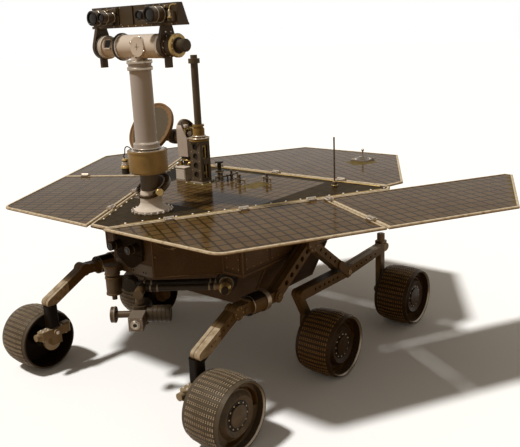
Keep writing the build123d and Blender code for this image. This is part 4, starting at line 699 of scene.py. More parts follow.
# The small actuator that stands beside the drive, and the lead that goes up to the lid
west = Vector((-0.078, -0.052, 0)).normalized()
spot = MAST + west * 0.0885
seat = Piece("mast_actuator", "dark_metal", "dark_metal")
seat.turned(spot + Z * 0.842, Z, [(0, 0), (0, 0.013), (0.002, 0.0155), (0.020, 0.0155), (0.022, 0.0135),
                                  (0.030, 0.0135)], 32)
seat.box(spot - west * 0.010 + Z * 0.869, (0.022, 0.016, 0.010), 0.002, (west, Z.cross(west), Z))
seat.turned(spot + Z * 0.887, Z, [(0, 0.0085), (0.0015, 0.0100), (0.003, 0.0100), (0.0045, 0.0085)], 28)
gold = Piece("mast_actuator_gold", "gold_bright", "gold_body")
gold.turned(spot + Z * 0.864, Z, [(0, 0), (0, 0.0165), (0.0015, 0.0182), (0.008, 0.0182), (0.0095, 0.0165),
                                  (0.0095, 0)], 32)
gold.turned(spot + Z * 0.8915, Z, [(0, 0), (0, 0.010), (0.001, 0.0115), (0.006, 0.0115), (0.0075, 0.0095),
                                   (0.0105, 0.005), (0.0105, 0)], 32)
pale = Piece("mast_actuator_pale", "white_paint", "white_paint")
for z, radius, height in ((0.8735, 0.0135, 0.006), (0.8815, 0.0125, 0.005)):
    pale.turned(spot + Z * z, Z, [(0, 0), (0, radius - 0.0015), (0.001, radius), (height - 0.001, radius),
                                  (height, radius - 0.0015), (height, 0)], 32)
lead = Piece("mast_actuator_lead", "black_rubber", "dark_metal")
lead.tube([spot + Z * z + west * out for z, out in (
    (0.901, 0), (0.910, 0.003), (0.922, -0.002), (0.938, -0.004), (0.9455, -0.012), (0.941, -0.022),
    (0.934, -0.028))], 0.0021, 8, 8)

# Head: bands on the neck, flanges and their bolts, the window, and the cap's cross and clips
neck = Piece("mast_neck_bands", "steel", "silver", "mast")
for z in (1.2225, 1.2455):
    neck.ring(MAST + Z * z, Z, 0.0440, 0.0468, 0.0105, 72, 0.002)
flange = Piece("head_flange", "dark_metal", "dark_metal", "mast")
flange.ring(HEAD - X * 0.0868, X, 0.0355, 0.0495, 0.0085, 72, 0.0015)
flange.ring(HEAD - X * 0.1855, X, 0.0365, 0.0440, 0.0075, 72, 0.0015)
bright = Piece("head_flange_rings", "steel", "silver", "mast")
for x, inner, outer, width, edge in (
        (-0.0778, 0.0425, 0.0472, 0.0062, 0.0012), (-0.1765, 0.0355, 0.0432, 0.0035, 0.0012),
        (-0.1695, 0.0355, 0.0430, 0.0035, 0.0012), (0.1290, 0.0415, 0.0428, 0.008, 0.0004)):
    bright.ring(HEAD + X * x, X, inner, outer, width, 72, edge)
bright.studs(HEAD - X * 0.0716, X, 0.0448, 18,
             [(-0.001, 0.0022), (0.0016, 0.0022), (0.003, 0.001), (0.0032, 0)], 8)
bright.bolts(HEAD - X * 0.1664, X, 0.0398, 12, 0.0018, 0.002)
facing = Vector((0, -0.94, 0.34)).normalized()
rising = X.cross(facing)
window_at = HEAD - X * 0.125
window = Piece("head_window", "black_gloss", "dark_metal", "mast")
window.box(window_at + facing * 0.0352, (0.030, 0.030, 0.004), 0.001, (X, rising, facing))
surround = Piece("head_window_frame", "white_paint", "white_paint", "mast")
for s in BOTH:
    for step, size in ((X, (0.003, 0.036, 0.0052)), (rising, (0.036, 0.003, 0.0052))):
        surround.box(window_at + facing * 0.0350 + step * (s * 0.0165), size, 0.0008, (X, rising, facing))
cap = Piece("head_cap_marks", "dark_metal", "dark_metal", "mast")
cap_at = HEAD + X * 0.046
for size in ((0.020, 0.0010, 0.0014), (0.0014, 0.0010, 0.022)):
    cap.box(cap_at - Y * 0.0482, size, 0.0002)
clips = Piece("head_cap_clips", "steel", "silver", "mast")
for point, out in around(cap_at - Y * 0.044, -Y, 0.0345, 4, math.radians(20)):
    clips.box(point, (0.008, 0.007, 0.007), 0.0014, (out, -Y.cross(out), -Y))

# Camera bar: the tilt motor, the cameras' lenses and trims, and the fittings on the bar's face
motor = Piece("tilt_motor_rings", "gold_bright", "gold_body", "camera_head")
motor.ring(HEAD + X * 0.1955, X, 0.0335, 0.0405, 0.0112, 72, 0.0015)
motor.ring(HEAD + X * 0.2045, X, 0.0275, 0.0385, 0.0030, 72, 0.0008)
heads = Piece("tilt_motor_bolts", "bolt_pale", "silver", "camera_head")
heads.studs(HEAD + X * 0.2072, X, 0.0345, 12,
            [(-0.001, 0.0024), (0.0018, 0.0024), (0.003, 0.0012), (0.0032, 0)], 10)
heads.bolts(HEAD + X * 0.1660, X, 0.0362, 10, 0.0017, 0.002)
for s in BOTH:
    for x in (0.100, 0.200, 0.020, 0.052):
        heads.bolt((s * x, -0.5487, 1.3765), -Y, 0.0018, 0.0018)
for x, out in ((0.1582, X), (-0.2055, -X)):
    for dy in (-0.012, 0.012):
        heads.turned((x, MAST.y + dy, 1.352), out,
                     [(-0.001, 0.0034), (0.002, 0.0034), (0.0036, 0.002), (0.004, 0)], 10)
stub = Piece("tilt_stub_rings", "dark_metal", "dark_metal", "camera_head")
stub.ring(HEAD + X * 0.2051, X, 0.0195, 0.0278, 0.0012, 48, 0.0004)
stub.ring(HEAD + X * 0.2060, X, 0.0195, 0.0222, 0.006, 40)
stub.studs(HEAD + X * 0.2062, X, 0.0248, 4, [(0, 0.0030), (0.0008, 0.0030), (0.0010, 0)], 12, 0.6)
stub.ring(HEAD + X * 0.2330, X, 0.0190, 0.0216, 0.010, 40)
lenses = Piece("camera_lenses", "lens_glass", "dark_metal", "camera_head")
hoods = Piece("camera_barrels", "black_gloss", "dark_metal", "camera_head")
trims = Piece("camera_trims", "steel", "silver", "camera_head")
for s in BOTH:
    for x, radius in ((0.150, 0.026), (0.100, 0.017)):
        front = Vector((s * x, -0.603, 1.409))
        hoods.ring(front + Y * 0.0005, -Y, radius * 0.76, radius * 1.01, 0.0052, 40, 0.0008)
        lenses.turned(front - Y * 0.0001, -Y,
                      [(0, radius * 0.78), (0.0012, radius * 0.6), (0.0022, radius * 0.3), (0.0025, 0)], 40)
        trims.ring(front + Y * 0.022, -Y, radius * 0.9, radius * 1.02, 0.0022, 40, 0.0004)
        trims.ring(front + Y * 0.050, -Y, radius * 0.9, radius * 1.04, 0.0018, 40, 0.0004)
boards = Piece("head_electronics", "brown_metal", "dark_metal", "camera_head")
bits = Piece("head_gold_fittings", "gold_bright", "gold_body", "camera_head")
tubes = Piece("head_silver_fittings", "steel", "silver", "camera_head")
BAR_FACE_Y, BARREL_Y = -0.541, -0.557
for s in BOTH:
    for x, z, width, height, depth in (
            (0.200, 1.402, 0.026, 0.034, 0.016), (0.124, 1.433, 0.050, 0.010, 0.008),
            (0.124, 1.387, 0.040, 0.008, 0.010), (0.176, 1.434, 0.030, 0.012, 0.010),
            (0.086, 1.434, 0.016, 0.014, 0.012)):
        boards.box((s * x, BAR_FACE_Y - depth / 2, z), (width, depth, height), 0.0015)
    bits.turned((s * 0.200, BARREL_Y, 1.396), Z, [(0, 0), (0, 0.0085), (0.003, 0.009), (0.004, 0.006),
                                                  (0.006, 0.0045)], 20)
    for x, y, z in ((0.124, -0.549, 1.433), (0.176, -0.551, 1.434)):
        bits.turned((s * x, y, z), -Y, [(0, 0.003), (0.004, 0.003), (0.005, 0.002), (0.005, 0)], 12)
    tubes.turned((s * 0.200, BARREL_Y, 1.401), Z,
                 [(0, 0.0045), (0.020, 0.0045), (0.022, 0.003), (0.022, 0)], 16)
    for x, z in ((0.068, 1.440), (0.068, 1.382), (0.218, 1.440), (0.140, 1.441), (0.108, 1.441)):
        tubes.bolt((s * x, -0.5408, z), -Y, 0.002, 0.0022)
bits.tube([(0.205, -0.556, 1.405), (0.206, -0.562, 1.420), (0.207, -0.560, 1.434), (0.214, -0.554, 1.4395),
           (0.219, -0.546, 1.4380)], 0.0017, 8, 6)

# Low gain antenna: gold rods inside the tower, plates across its slots, bolts on its foot and flange
rods = Piece("tower_rods", "gold_bright", "gold_body")
for dx in (-0.0215, 0.0215):
    for dy in (-0.0095, 0.0095):
        rods.rod(TOWER + Vector((dx, dy, 0.702)), TOWER + Vector((dx, dy, 0.886)), 0.0038, 12)
for z in (0.735, 0.800, 0.855):
    rods.turned(TOWER + Z * z, Z, [(0, 0), (0, 0.0205), (0.0015, 0.0220), (0.007, 0.0220), (0.0085, 0.0205),
                                   (0.0085, 0)], 28)
sleeve = Piece("tower_sleeve", "dark_metal", "dark_metal")
sleeve.box(TOWER + Vector((-0.0243, 0, 0.794)), (0.0020, 0.0495, 0.180), 0.0005)
plates = Piece("tower_plates", "brown_metal", "dark_metal")
for s in BOTH:
    sleeve.box(TOWER + Vector((0.001, s * 0.0243, 0.794)), (0.0475, 0.0020, 0.180), 0.0005)
    plates.box(TOWER + Vector((s * 0.0322, 0, 0.7925)), (0.0030, 0.034, 0.022), 0.0008)
sleeve.turned(TOWER + Z * 0.702, Z, [(0, 0), (0, 0.0165), (0.184, 0.0165), (0.184, 0)], 28)
pins = Piece("tower_bolts", "bolt_pale", "silver")
FOOT_BOLT = 0.0335 * 1.45
for dx in (-FOOT_BOLT, 0, FOOT_BOLT):
    for dy in (-FOOT_BOLT, 0, FOOT_BOLT):
        if dx or dy:
            pins.bolt(TOWER + Vector((dx, dy, 0.6982)), Z, 0.0040, 0.0042)
pins.bolts(TOWER + Z * 0.898, Z, 0.0385, 10, 0.0024, 0.0024)
for s in BOTH:
    for z in (0.718, 0.7565, 0.797, 0.8375, 0.876):
        for d in (-0.022, 0.022):
            pins.turned(TOWER + Vector((d, s * 0.031, z)), Y * s,
                        [(-0.0005, 0.0016), (0.0010, 0.0014), (0.0014, 0)], 8)
bands = Piece("tower_bands", "steel", "silver")
bands.ring(TOWER + Z * 0.8945, Z, 0.0440, 0.0468, 0.0045, 64, 0.0015)
bands.ring(TOWER + Z * 0.9020, Z, 0.0255, 0.0310, 0.0060, 48, 0.0015)

# High gain antenna: works in the hood, bands on its side arm, the post's fittings and the box's lid
WORKS_Z, SIDE_ARM_Z = 0.902, 0.885
works = Piece("hood_works", "gold_bright", "gold_body", "dish_mount")
works.ring((-0.3155, POST.y, WORKS_Z), X, 0.0215, 0.0262, 0.010)
works.ring((-0.2975, POST.y, WORKS_Z), X, 0.0215, 0.0245, 0.006)
works.box((-0.292, -0.046, 0.912), (0.016, 0.010, 0.030), 0.0015)
works.rod((-0.300, 0.000, 0.925), (-0.278, 0.000, 0.925), 0.005, 14)
whites = Piece("hood_white_parts", "white_paint", "white_paint", "dish_mount")
whites.box((-0.291, -0.034, 0.938), (0.020, 0.018, 0.014), 0.002)
whites.turned((-0.285, POST.y, WORKS_Z), X,
              [(0, 0), (0, 0.012), (0.005, 0.012), (0.007, 0.009), (0.007, 0)], 24)
whites.ring((-0.3295, POST.y, SIDE_ARM_Z), -X, 0.0300, 0.0345, 0.0052, 56)
whites.ring((-0.3860, POST.y, SIDE_ARM_Z), -X, 0.0300, 0.0322, 0.0105, 56)
darks = Piece("hood_dark_bands", "dark_metal", "dark_metal", "dish_mount")
darks.ring((-0.3470, POST.y, SIDE_ARM_Z), -X, 0.0300, 0.0325, 0.0120, 56)
darks.turned(POST + Z * 0.8003, Z,
             [(0, 0.034), (0, 0.0386), (0.0015, 0.0392), (0.0035, 0.0386), (0.0035, 0.034)], 56)
base = Piece("dish_post_fittings", "gold_bright", "gold_body")
base.ring(POST + Z * 0.7850, Z, 0.0370, 0.0392, 0.0040, 56, 0.0008)
base.box((-0.2545, -0.047, 0.774), (0.026, 0.020, 0.018), 0.003)
base.box((-0.3235, -0.047, 0.768), (0.018, 0.020, 0.026), 0.003)
base.turned((-0.2560, -0.0575, 0.774), -Y,
            [(0, 0), (0, 0.007), (0.006, 0.007), (0.008, 0.005), (0.012, 0.005), (0.012, 0)], 20)
box_lid = Piece("dish_box_lid", "white_paint", "white_paint")
box_lid.box((POST.x, -0.0675, 0.7575), (0.063, 0.045, 0.004), 0.001)
box_lid.box((POST.x, -0.0868, 0.7270), (0.050, 0.0016, 0.046), 0.0005)
post_bolts = Piece("dish_post_bolts", "bolt_pale", "silver")
for point, _ in around(POST + Z * 0.706, Z, 0.0385, 10, 0.3):
    if point.y > -0.043:
        post_bolts.bolt(point, Z, 0.0030, 0.0030)
for x in (-0.312, -0.268):
    for z in (0.7075, 0.7465):
        post_bolts.bolt((x, -0.0876, z), -Y, 0.0022, 0.0020)

# The dish's scalloped rim and its gold lock
SCALLOPS, STEPS = 26, 8
dish_normal = Vector((0, -0.829, 0.559)).normalized()
dish_centre = Vector((-0.470, -0.020, SIDE_ARM_Z))
face_at = dish_centre + dish_normal * 0.0753
rim = Piece("dish_rim_band", "dish_rim", "dish_grey", "dish_antenna")
rim_points, rim_faces = [], []
count = SCALLOPS * STEPS
for i in range(count):
    angle = math.tau * i / count
    out = X * math.cos(angle) + dish_normal.cross(X) * math.sin(angle)
    inner = 0.1105 - 0.0060 * abs(math.sin(angle * SCALLOPS / 2))
    rim_points += [face_at + out * inner, face_at + out * 0.1187]
    j = (i + 1) % count
    rim_faces.append((2 * i, 2 * i + 1, 2 * j + 1, 2 * j))
rim.faces(rim_points, rim_faces)
rim.turned(dish_centre + dish_normal * 0.0622, dish_normal,
           [(0, 0.1276), (0.0004, 0.1284), (0.0150, 0.1284), (0.0161, 0.1276), (0.0161, 0.1195)], 96)
LOCK, LOCK_AXIS = Vector((-0.412, -0.036, 0.896)), Vector((0.55, -0.80, 0.10))
lock = Piece("dish_lock", "gold_bright", "gold_body", "dish_antenna")
lock.turned(LOCK, LOCK_AXIS, [(0, 0.0100), (0.012, 0.0100), (0.013, 0.0125), (0.019, 0.0125), (0.020, 0.0110),
                              (0.020, 0.0080), (0.012, 0.0080)], 28)
core = Piece("dish_lock_core", "dark_metal", "dark_metal", "dish_antenna")
core.turned(LOCK, LOCK_AXIS, [(0.010, 0.0082), (0.021, 0.0070), (0.024, 0.0042), (0.024, 0)], 20)

# Deck: harness and studs beside the sweep edges
for side_name, side in SIDES.items():
    harness = Piece("deck_harness_" + side_name, "gold_bright", "gold_body")
    studs = Piece("deck_studs_" + side_name, "bolt_pale", "silver")
    line, inner = [], []
    for i in range(18):
        y = -0.735 + i * 0.054
        x = HINGE_LINE_X + SLOPE * y - 0.022
        line.append((side * (x + 0.0008 * (-1) ** i), y, 0.6996))
        inner.append((side * (x - 0.0065 + 0.0006 * (-1) ** i), y, 0.6992))
        studs.turned((side * x, y + 0.020, SHEET_TOP), Z, [(0, 0.0042), (0.0030, 0.0042), (0.0045, 0.0026),
                                                           (0.0048, 0)], 10)
    harness.tube(line, 0.0017, 6, 3)
    harness.tube(inner, 0.0010, 6, 3)
rear = Piece("deck_harness_rear", "gold_bright", "gold_body")
rear.tube([(x / 1000, 0.222 + 0.0008 * (-1) ** i, 0.6996) for i, x in enumerate(range(-560, 561, 56))],
          0.0017, 6, 3)

# Deck pins with cross arms, each a place and the two ends of its arm
DECK_PINS = (((-0.102, -0.017), (-0.125, -0.030), (-0.100, 0.020)),
             ((-0.095, 0.041), (-0.100, 0.020), (-0.104, 0.092)),
             ((-0.001, -0.014), (-0.030, -0.006), (0.034, -0.022)),
             ((0.094, 0.058), (0.070, 0.066), (0.120, 0.050)))
pins = Piece("deck_pins", "brown_metal", "bronze")
tips = Piece("deck_pin_tips", "bolt_steel", "silver")
for place, *arm in DECK_PINS:
    foot_at = Vector((*place, SHEET_TOP))
    ends = [Vector((*end, 0.718)) for end in arm]
    pins.turned(foot_at, Z, [(0, 0.0115), (0.002, 0.0115), (0.003, 0.0060), (0.036, 0.0048), (0.037, 0.0068),
                             (0.043, 0.0068), (0.0445, 0)], 20)
    pins.box(foot_at + Z * 0.0200, (0.012, 0.012, 0.012), 0.0015)
    pins.rod(*ends, 0.0030, 10)
    for end in ends:
        tips.turned(end - Z * 0.0204, Z, [(0, 0.0062), (0.0025, 0.0062), (0.0030, 0.0036), (0.0225, 0.0036),
                                          (0.0240, 0.0060), (0.0270, 0.0060), (0.0280, 0)], 14)
spool = Piece("deck_spool", "dark_metal", "dark_metal")
spool.turned((-0.276, 0.160, SHEET_TOP), Z, [(0, 0.020), (0.004, 0.020), (0.006, 0.010), (0.038, 0.010),
                                             (0.041, 0.021), (0.047, 0.021), (0.049, 0.018), (0.049, 0)], 32)
whip = Piece("whip_fittings", "gold_bright", "gold_body")
whip.ring((0.396, 0.132, 0.7030), Z, 0.0108, 0.0135, 0.0050, 32, 0.0008)
whip.ring((0.396, 0.132, 0.7190), Z, 0.0034, 0.0075, 0.0050, 24, 0.0008)

# Sundial: four plain corner patches and three rings
DIAL = Vector((0.198, 0.692, 0.0))
CORNERS = {"gold": ("gold_bright", -1, -1), "brown": ("brown_metal", 1, -1), "bronze": ("bronze", 1, 1),
           "cream": ("cream_paint", -1, 1)}
for tone_name, (metal_name, dx, dy) in CORNERS.items():
    patch = Piece("sundial_corner_" + tone_name, metal_name, "silver")
    patch.box(DIAL + Vector((dx * 0.034, dy * 0.034, 0.7080)), (0.013, 0.013, 0.0012), 0.0004)
rings = Piece("sundial_rings", "brown_metal", "dark_metal")
for radius in (0.013, 0.021, 0.029):
    rings.ring(DIAL + Z * 0.7078, Z, radius - 0.0022, radius + 0.0022, 0.0008, 56, 0.0003)

# Hinges: pale clamp blocks with dark screws, along the sweep edges, the cross hinges and the tail's hinge
clamps = Piece("hinge_clamps", "white_paint", "white_paint")
screws = Piece("hinge_screws", "dark_metal", "dark_metal")
places = []
for share in (0.26, 0.6, 0.93):
    y = -0.788 + (-0.057 + 0.788) * share
    for side in SIDES.values():
        places.append((side * (HINGE_LINE_X + SLOPE * y), y, math.pi / 2 - side * SWEEP))
for share in (0.07, 0.77):
    reach = 0.004 + 0.466 * share
    for side in SIDES.values():
        places.append((side * (CROSS_HINGE.x + reach * math.cos(SWEEP)),
                       CROSS_HINGE.y - reach * math.sin(SWEEP), -side * SWEEP))
for share in (-0.62, 0.0, 0.62):
    places.append((share * 0.575, 0.248, 0.0))
for x, y, turn in places:
    run = Vector((math.cos(turn), math.sin(turn), 0))
    cross = Z.cross(run)
    for s in BOTH:
        clamps.box(Vector((x, y, 0.7045)) + cross * (s * 0.0115), (0.031, 0.0062, 0.0042), 0.0012,
                   (run, cross, Z))
        for d in (-0.010, 0.010):
            screws.turned(Vector((x, y, 0.7064)) + cross * (s * 0.0115) + run * d, Z,
                          [(0, 0.0022), (0.0012, 0.0020), (0.0014, 0)], 10)
    for d in (-0.0172, 0.0172):
        clamps.turned(Vector((x, y, 0.706)) + run * d, run,
                      [(-0.001, 0), (-0.001, 0.0062), (0.001, 0.0062), (0.001, 0)], 18)

# Nose: hazard camera lenses, the dark bracket under them, the slotted plate, the leads and edges of its sides
front_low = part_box("hazard_cameras_front")[0]
back_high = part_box("hazard_cameras_rear")[1]
for name, y, facing_y in (("front", front_low.y, -Y), ("rear", back_high.y, Y)):
    glass = Piece("hazard_lenses_" + name, "lens_glass", "dark_metal")
    trim = Piece("hazard_rings_" + name, "bronze", "bronze")
    for x in (-0.060, 0.040):
        lens = Vector((x, y, 0.590))
        glass.turned(lens - facing_y * 0.0006, facing_y,
                     [(0, 0.0128), (0.0012, 0.009), (0.0020, 0.004), (0.0022, 0)], 28)
        trim.ring(lens - facing_y * 0.0004, facing_y, 0.0125, 0.0155, 0.0016, 36, 0.0005)
        trim.ring(lens - facing_y * 0.022, facing_y, 0.0165, 0.0180, 0.0045, 36, 0.0005)
bracket = Piece("nose_bracket", "black_flat", "dark_metal")
OUTLINE = [(-0.080, 0.556), (-0.080, 0.540), (-0.022, 0.502), (0.002, 0.502), (0.060, 0.540), (0.060, 0.556)]
count = len(OUTLINE)
bracket.faces([(x, NOSE_Y + y, z) for y in (-0.010, 0.001) for x, z in OUTLINE],
              [range(count), range(2 * count - 1, count - 1, -1)]
              + [(i, (i + 1) % count, (i + 1) % count + count, i + count) for i in range(count)])
slots = Piece("nose_slots", "black_gloss", "dark_metal")
for x in (-0.078, -0.010, 0.058):
    for d in (-0.007, 0.007):
        slots.rod((x + d - 0.0025, NOSE_Y - 0.0004, 0.4905), (x + d + 0.0025, NOSE_Y - 0.0004, 0.4905),
                  0.0032, 10)
plate = Piece("nose_plate", "bronze", "bronze")
plate.box((0.0, NOSE_Y - 0.0006, 0.5000), (0.206, 0.0016, 0.046), 0.0005)
EDGE_LOW, EDGE_HIGH = 0.480, 0.686
for side_name, side in SIDES.items():
    run = Vector((side * 0.185, 0.180, 0)).normalized()
    out = Vector((side * 0.697, -0.717, 0)).normalized()
    origin = Vector((side * 0.105, NOSE_Y, 0)) + out * 0.0018
    lead = Piece("nose_lead_" + side_name, "gold_arm", "gold_body")
    for route, radius in ((((0.014, 0.672), (0.012, 0.640), (0.018, 0.612), (0.046, 0.594), (0.078, 0.586),
                            (0.104, 0.602), (0.128, 0.640), (0.138, 0.672)), 0.0020),
                          (((0.088, 0.592), (0.130, 0.604), (0.176, 0.612), (0.222, 0.622)), 0.0018)):
        lead.tube([origin + run * s + Z * z for s, z in route], radius, 6, 5)
    for s, z in ((0.015, 0.650), (0.078, 0.586), (0.116, 0.622), (0.176, 0.612), (0.222, 0.622),
                 (0.012, 0.560)):
        lead.turned(origin + run * s + Z * z - out * 0.002, out,
                    [(0, 0.0055), (0.003, 0.0055), (0.005, 0.003), (0.005, 0)], 12)
    rails = Piece("body_edges_" + side_name, "gold_arm", "gold_body")
    for z in (EDGE_LOW, EDGE_HIGH):
        rail = origin + Z * z - out * 0.0008
        rails.rod(rail + run * 0.004, rail + run * 0.250, 0.0018, 8)
    corner = origin + run * 0.002
    rails.rod(corner + Z * EDGE_LOW, corner + Z * EDGE_HIGH, 0.0018, 8)

# Body: thin closing panels with rows of rivets, corner strips, and the strips on the belly's slope
# The walls from the nose round to the back: each one's start and end, and the ends of the panels along it
WALLS = (((0.105, -0.645), (0.290, -0.465), ()),
         ((0.290, -0.465), (0.385, -0.465), ((0.014, 0.082),)),
         ((0.385, -0.465), (0.385, 0.130), ((0.016, 0.150), (0.166, 0.300), (0.316, 0.440), (0.456, 0.580))),
         ((0.385, 0.130), (0.250, 0.205), ((0.020, 0.134),)),
         ((0.250, 0.205), (0.085, 0.205), ((0.020, 0.150),)))
PANEL_LOW, PANEL_HIGH, RIVET_INSET, RIVET_SPACING, RIVETS_ON_SLOPE = 0.500, 0.664, 0.006, 0.040, 7
RIVET = [(0, 0.0021), (0.0010, 0.0017), (0.0014, 0)]


def evenly(low, high):
    """Places of rivets between two ends of a panel, inset from both."""
    count = max(2, round((high - low) / RIVET_SPACING))
    return [low + RIVET_INSET + (high - low - 2 * RIVET_INSET) * i / count for i in range(count + 1)]


for side_name, side in SIDES.items():
    panels = Piece("body_panels_" + side_name, "foil_panel", "gold_body")
    rivets = Piece("body_rivets_" + side_name, "bolt_brass", "bronze")
    strips = Piece("body_strips_" + side_name, "gold_arm", "gold_body")
    for wall_start, wall_end, plates in WALLS:
        start, end = [Vector((side * x, y, 0)) for x, y in (wall_start, wall_end)]
        length = (end - start).length
        run = (end - start).normalized()
        out = run.cross(Z) * side
        for low, high in plates:
            middle = start + run * (low + high) / 2 + Z * (PANEL_LOW + PANEL_HIGH) / 2
            panels.box(middle + out * 0.0006, (high - low, 0.0016, PANEL_HIGH - PANEL_LOW), 0.0006,
                       (run, out, Z))
            across, upright = evenly(low, high), evenly(PANEL_LOW, PANEL_HIGH)
            spots = [(s, z) for s in across for z in (upright[0], upright[-1])]
            spots += [(s, z) for z in upright[1:-1] for s in (across[0], across[-1])]
            for s, z in spots:
                rivets.turned(start + run * s + out * 0.0012 + Z * z, out, RIVET, 8)
        # The nose's wall has neither panels nor strips
        for z in (0.484, 0.680) if plates else ():
            middle = start + run * length / 2 + out * 0.0008
            strips.box(middle + Z * z, (length - 0.004, 0.0020, 0.007), 0.0008, (run, out, Z))
        strips.rod(end + Z * 0.479 - out * 0.0012, end + Z * 0.684 - out * 0.0012, 0.0026, 8)
    for y in (-0.330, -0.120, 0.090):
        top, foot = Vector((side * 0.3785, y, 0.470)), Vector((side * 0.2965, y, 0.303))
        down = (foot - top).normalized()
        out = Y.cross(down) * -side
        strips.box((top + foot) / 2 + out * 0.0006, (0.012, (foot - top).length, 0.0018), 0.0006,
                   (Y, down, out))
        for i in range(RIVETS_ON_SLOPE):
            rivets.turned(top + (foot - top) * (i + 0.5) / RIVETS_ON_SLOPE + out * 0.0012, out, RIVET, 8)

# Instrument arm, in the folded arm's own frame: U along it, V across it
HEADING = math.radians(37.2)
ALONG = Vector((math.cos(HEADING), math.sin(HEADING), 0))
ACROSS = Vector((math.sin(HEADING), -math.cos(HEADING), 0))
SHOULDER = Vector((-0.090, -0.680, 0.0))
ARM_Z, TURRET_Z, ELBOW_U, TURRET_U, TURRET_V = 0.425, 0.343, 0.437, 0.118, 0.100


def arm_point(u, v, z=ARM_Z):
    return SHOULDER + ALONG * u + ACROSS * v + Z * z


cuff = Piece("shoulder_bands", "gold_arm", "gold_body")
cuff.ring(SHOULDER + Z * 0.4985, Z, 0.0230, 0.0312, 0.0080)
cuff.ring(SHOULDER + Z * 0.4680, Z, 0.0275, 0.0300, 0.0060)
drum = Piece("shoulder_rings", "gold_arm", "arm_gold", "arm_shoulder")
drum.ring(SHOULDER + Z * 0.4520, Z, 0.0275, 0.0300, 0.0080)
drum.ring(SHOULDER + Z * 0.3885, Z, 0.0270, 0.0300, 0.0070)
straps = Piece("upper_arm_clamps", "cream_paint", "arm_gold", "arm_upper")
for u in (0.118, 0.145, 0.372, 0.392):
    straps.ring(arm_point(u, 0), ALONG, 0.0125, 0.0148, 0.0065, 32, 0.0008)
teeth = Piece("elbow_teeth", "dark_metal", "dark_metal", "arm_upper")
for point, out in around(arm_point(ELBOW_U, 0), ACROSS, 0.0384, 30):
    if out.dot(ALONG) > -0.86:
        teeth.box(point, (0.0030, 0.0042, 0.024), 0.0008, (out, ACROSS.cross(out), ACROSS))
straps = Piece("forearm_clamps", "cream_paint", "arm_gold", "arm_fore")
for u in (0.150, 0.176, 0.372, 0.392):
    straps.ring(arm_point(u, 0.052), ALONG, 0.0115, 0.0138, 0.0065, 32, 0.0008)
straps.ring(arm_point(ELBOW_U, 0.022), ACROSS, 0.0235, 0.0285, 0.0070)
cone = Piece("elbow_cone", "gold_bright", "arm_gold", "arm_fore")
for v, profile in ((0.030, [(0, 0.0243), (0.004, 0.0250), (0.020, 0.0250), (0.024, 0.0243)]),
                   (0.0795, [(0, 0.0240), (0.0015, 0.0225), (0.012, 0.0150), (0.013, 0.0140)])):
    cone.turned(arm_point(ELBOW_U, v), ACROSS, profile, 40)

# Turret: the four tools stand at right angles round its hub
hub = arm_point(TURRET_U, TURRET_V, TURRET_Z)
sensor_out, face_out, contact_out, grinder_out = [
    Vector((math.cos(HEADING - q * math.pi / 2), math.sin(HEADING - q * math.pi / 2), 0)) for q in range(4)]
face_side = Z.cross(face_out)
port = Piece("microscope_port", "steel", "silver", "arm_turret")
port.ring(hub + face_out * 0.1002, face_out, 0.0140, 0.0175, 0.0060, 40)
port.ring(hub + face_out * 0.1076, face_out, 0.0075, 0.0135, 0.0020, 40, 0.0006)
pupil = Piece("microscope_pupil", "lens_glass", "dark_metal", "arm_turret")
pupil.turned(hub + face_out * 0.1078, face_out, [(0, 0.0078), (0.0008, 0.005), (0.0012, 0)], 24)
shell = Piece("microscope_edges", "bronze", "bronze", "arm_turret")
for s in BOTH:
    for h in BOTH:
        port.bolt(hub + face_out * 0.1000 + face_side * (s * 0.021) + Z * (h * 0.021), face_out, 0.0022,
                  0.0020)
    shell.box(hub + face_out * 0.064 + face_side * (s * 0.0262), (0.060, 0.0016, 0.034), 0.0004,
              (face_out, face_side, Z))
cup = Piece("contact_face", "tool_paint", "white_paint", "arm_turret")
cup.turned(hub + contact_out * 0.1100, contact_out,
           [(-0.002, 0.0305), (0.0, 0.0300), (0.0008, 0.0280), (-0.0002, 0)], 48)
cup.ring(hub + contact_out * 0.0925, contact_out, 0.0290, 0.0312, 0.0060)
ribs = Piece("tool_ribs", "dark_metal", "dark_metal", "arm_turret")
for reach in (0.046, 0.062, 0.078, 0.094):
    ribs.ring(hub + sensor_out * reach, sensor_out, 0.0300, 0.0325, 0.0050)
ribs.ring(hub + sensor_out * 0.108, sensor_out, 0.0200, 0.0300, 0.0052)
for reach in (0.050, 0.074, 0.094):
    ribs.ring(hub + grinder_out * reach, grinder_out, 0.0230, 0.0256, 0.0060)

for piece in Piece.begun:
    piece.finish()


# Stage, light and camera
def shown_rays(tree):
    """1 on the rays that see the plain background: the camera's, and those of gloss and glass."""
    rays = tree.nodes.new("ShaderNodeLightPath")
    value = rays.outputs["Is Camera Ray"]
    for kind in ("Is Glossy Ray", "Is Transmission Ray"):
        node = tree.nodes.new("ShaderNodeMath")
        node.operation = "MAXIMUM"
        tree.links.new(value, node.inputs[0])
        tree.links.new(rays.outputs[kind], node.inputs[1])
        value = node.outputs[0]
    return value


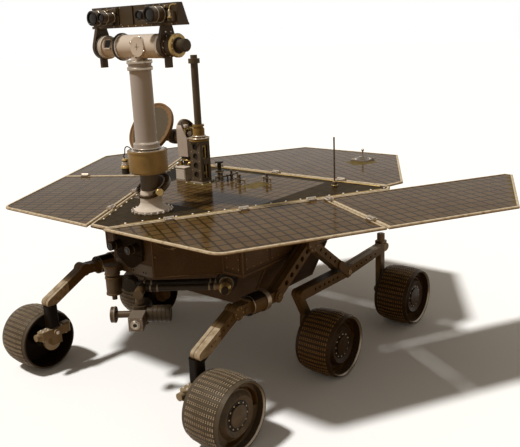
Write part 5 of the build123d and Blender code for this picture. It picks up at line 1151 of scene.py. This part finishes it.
def plane(name, size, z, colour, bounce):
    """A floor that the camera sees in one colour, and that throws light back in another."""
    mesh = bpy.data.meshes.new(name)
    corners = [(-size, -size, z), (size, -size, z), (size, size, z), (-size, size, z)]
    mesh.from_pydata(corners, [], [(0, 1, 2, 3)])
    obj = bpy.data.objects.new(name, mesh)
    bpy.context.scene.collection.objects.link(obj)
    n = Nodes(name)
    n.finish(n.mix(shown_rays(n.tree), bounce, colour), 0.9, 0.0, 0.1)
    mesh.materials.append(n.material)


def background(tree, colour, strength):
    node = tree.nodes.new("ShaderNodeBackground")
    node.inputs[0].default_value = (*colour, 1.0)
    node.inputs[1].default_value = strength
    return node.outputs[0]


plane("floor", 40.0, -0.001, (0.93, 0.93, 0.92), (0.34, 0.205, 0.080))

world = bpy.data.worlds.new("studio")
bpy.context.scene.world = world
world.use_nodes = True
tree = world.node_tree
tree.nodes.clear()
output = tree.nodes.new("ShaderNodeOutputWorld")
share = tree.nodes.new("ShaderNodeMixShader")
tree.links.new(shown_rays(tree), share.inputs[0])
tree.links.new(background(tree, (1.0, 0.87, 0.70), 0.26), share.inputs[1])
tree.links.new(background(tree, (1.0, 1.0, 1.0), 1.0), share.inputs[2])
tree.links.new(share.outputs[0], output.inputs[0])

sun = bpy.data.lights.new("key", "SUN")
sun.energy = 3.35
sun.angle = math.radians(6)
sun.color = (1.0, 0.98, 0.95)
key = bpy.data.objects.new("key", sun)
key.rotation_mode = "QUATERNION"
key.rotation_quaternion = Vector((-0.25, -0.42, 0.90)).to_track_quat("Z", "Y")
bpy.context.scene.collection.objects.link(key)

# The photo's camera: its place, and its turns to the side, down and about its own line
camera_data = bpy.data.cameras.new("camera")
camera_data.sensor_width = 36.0
camera_data.lens = 48.28
camera = bpy.data.objects.new("camera", camera_data)
yaw, pitch, roll = -0.689139, -0.273657, -0.044604
ahead = Vector((math.sin(yaw) * math.cos(pitch), math.cos(yaw) * math.cos(pitch), math.sin(pitch)))
level = Vector((math.cos(yaw), -math.sin(yaw), 0.0))
upright = level.cross(ahead)
right = level * math.cos(roll) + upright * math.sin(roll)
up = upright * math.cos(roll) - level * math.sin(roll)
turn = Matrix((right, up, -ahead)).transposed().to_4x4()
camera.matrix_world = Matrix.Translation((1.95794, -2.26446, 1.35161)) @ turn
bpy.context.scene.collection.objects.link(camera)
bpy.context.scene.camera = camera
bpy.context.scene.view_settings.view_transform = "Standard"
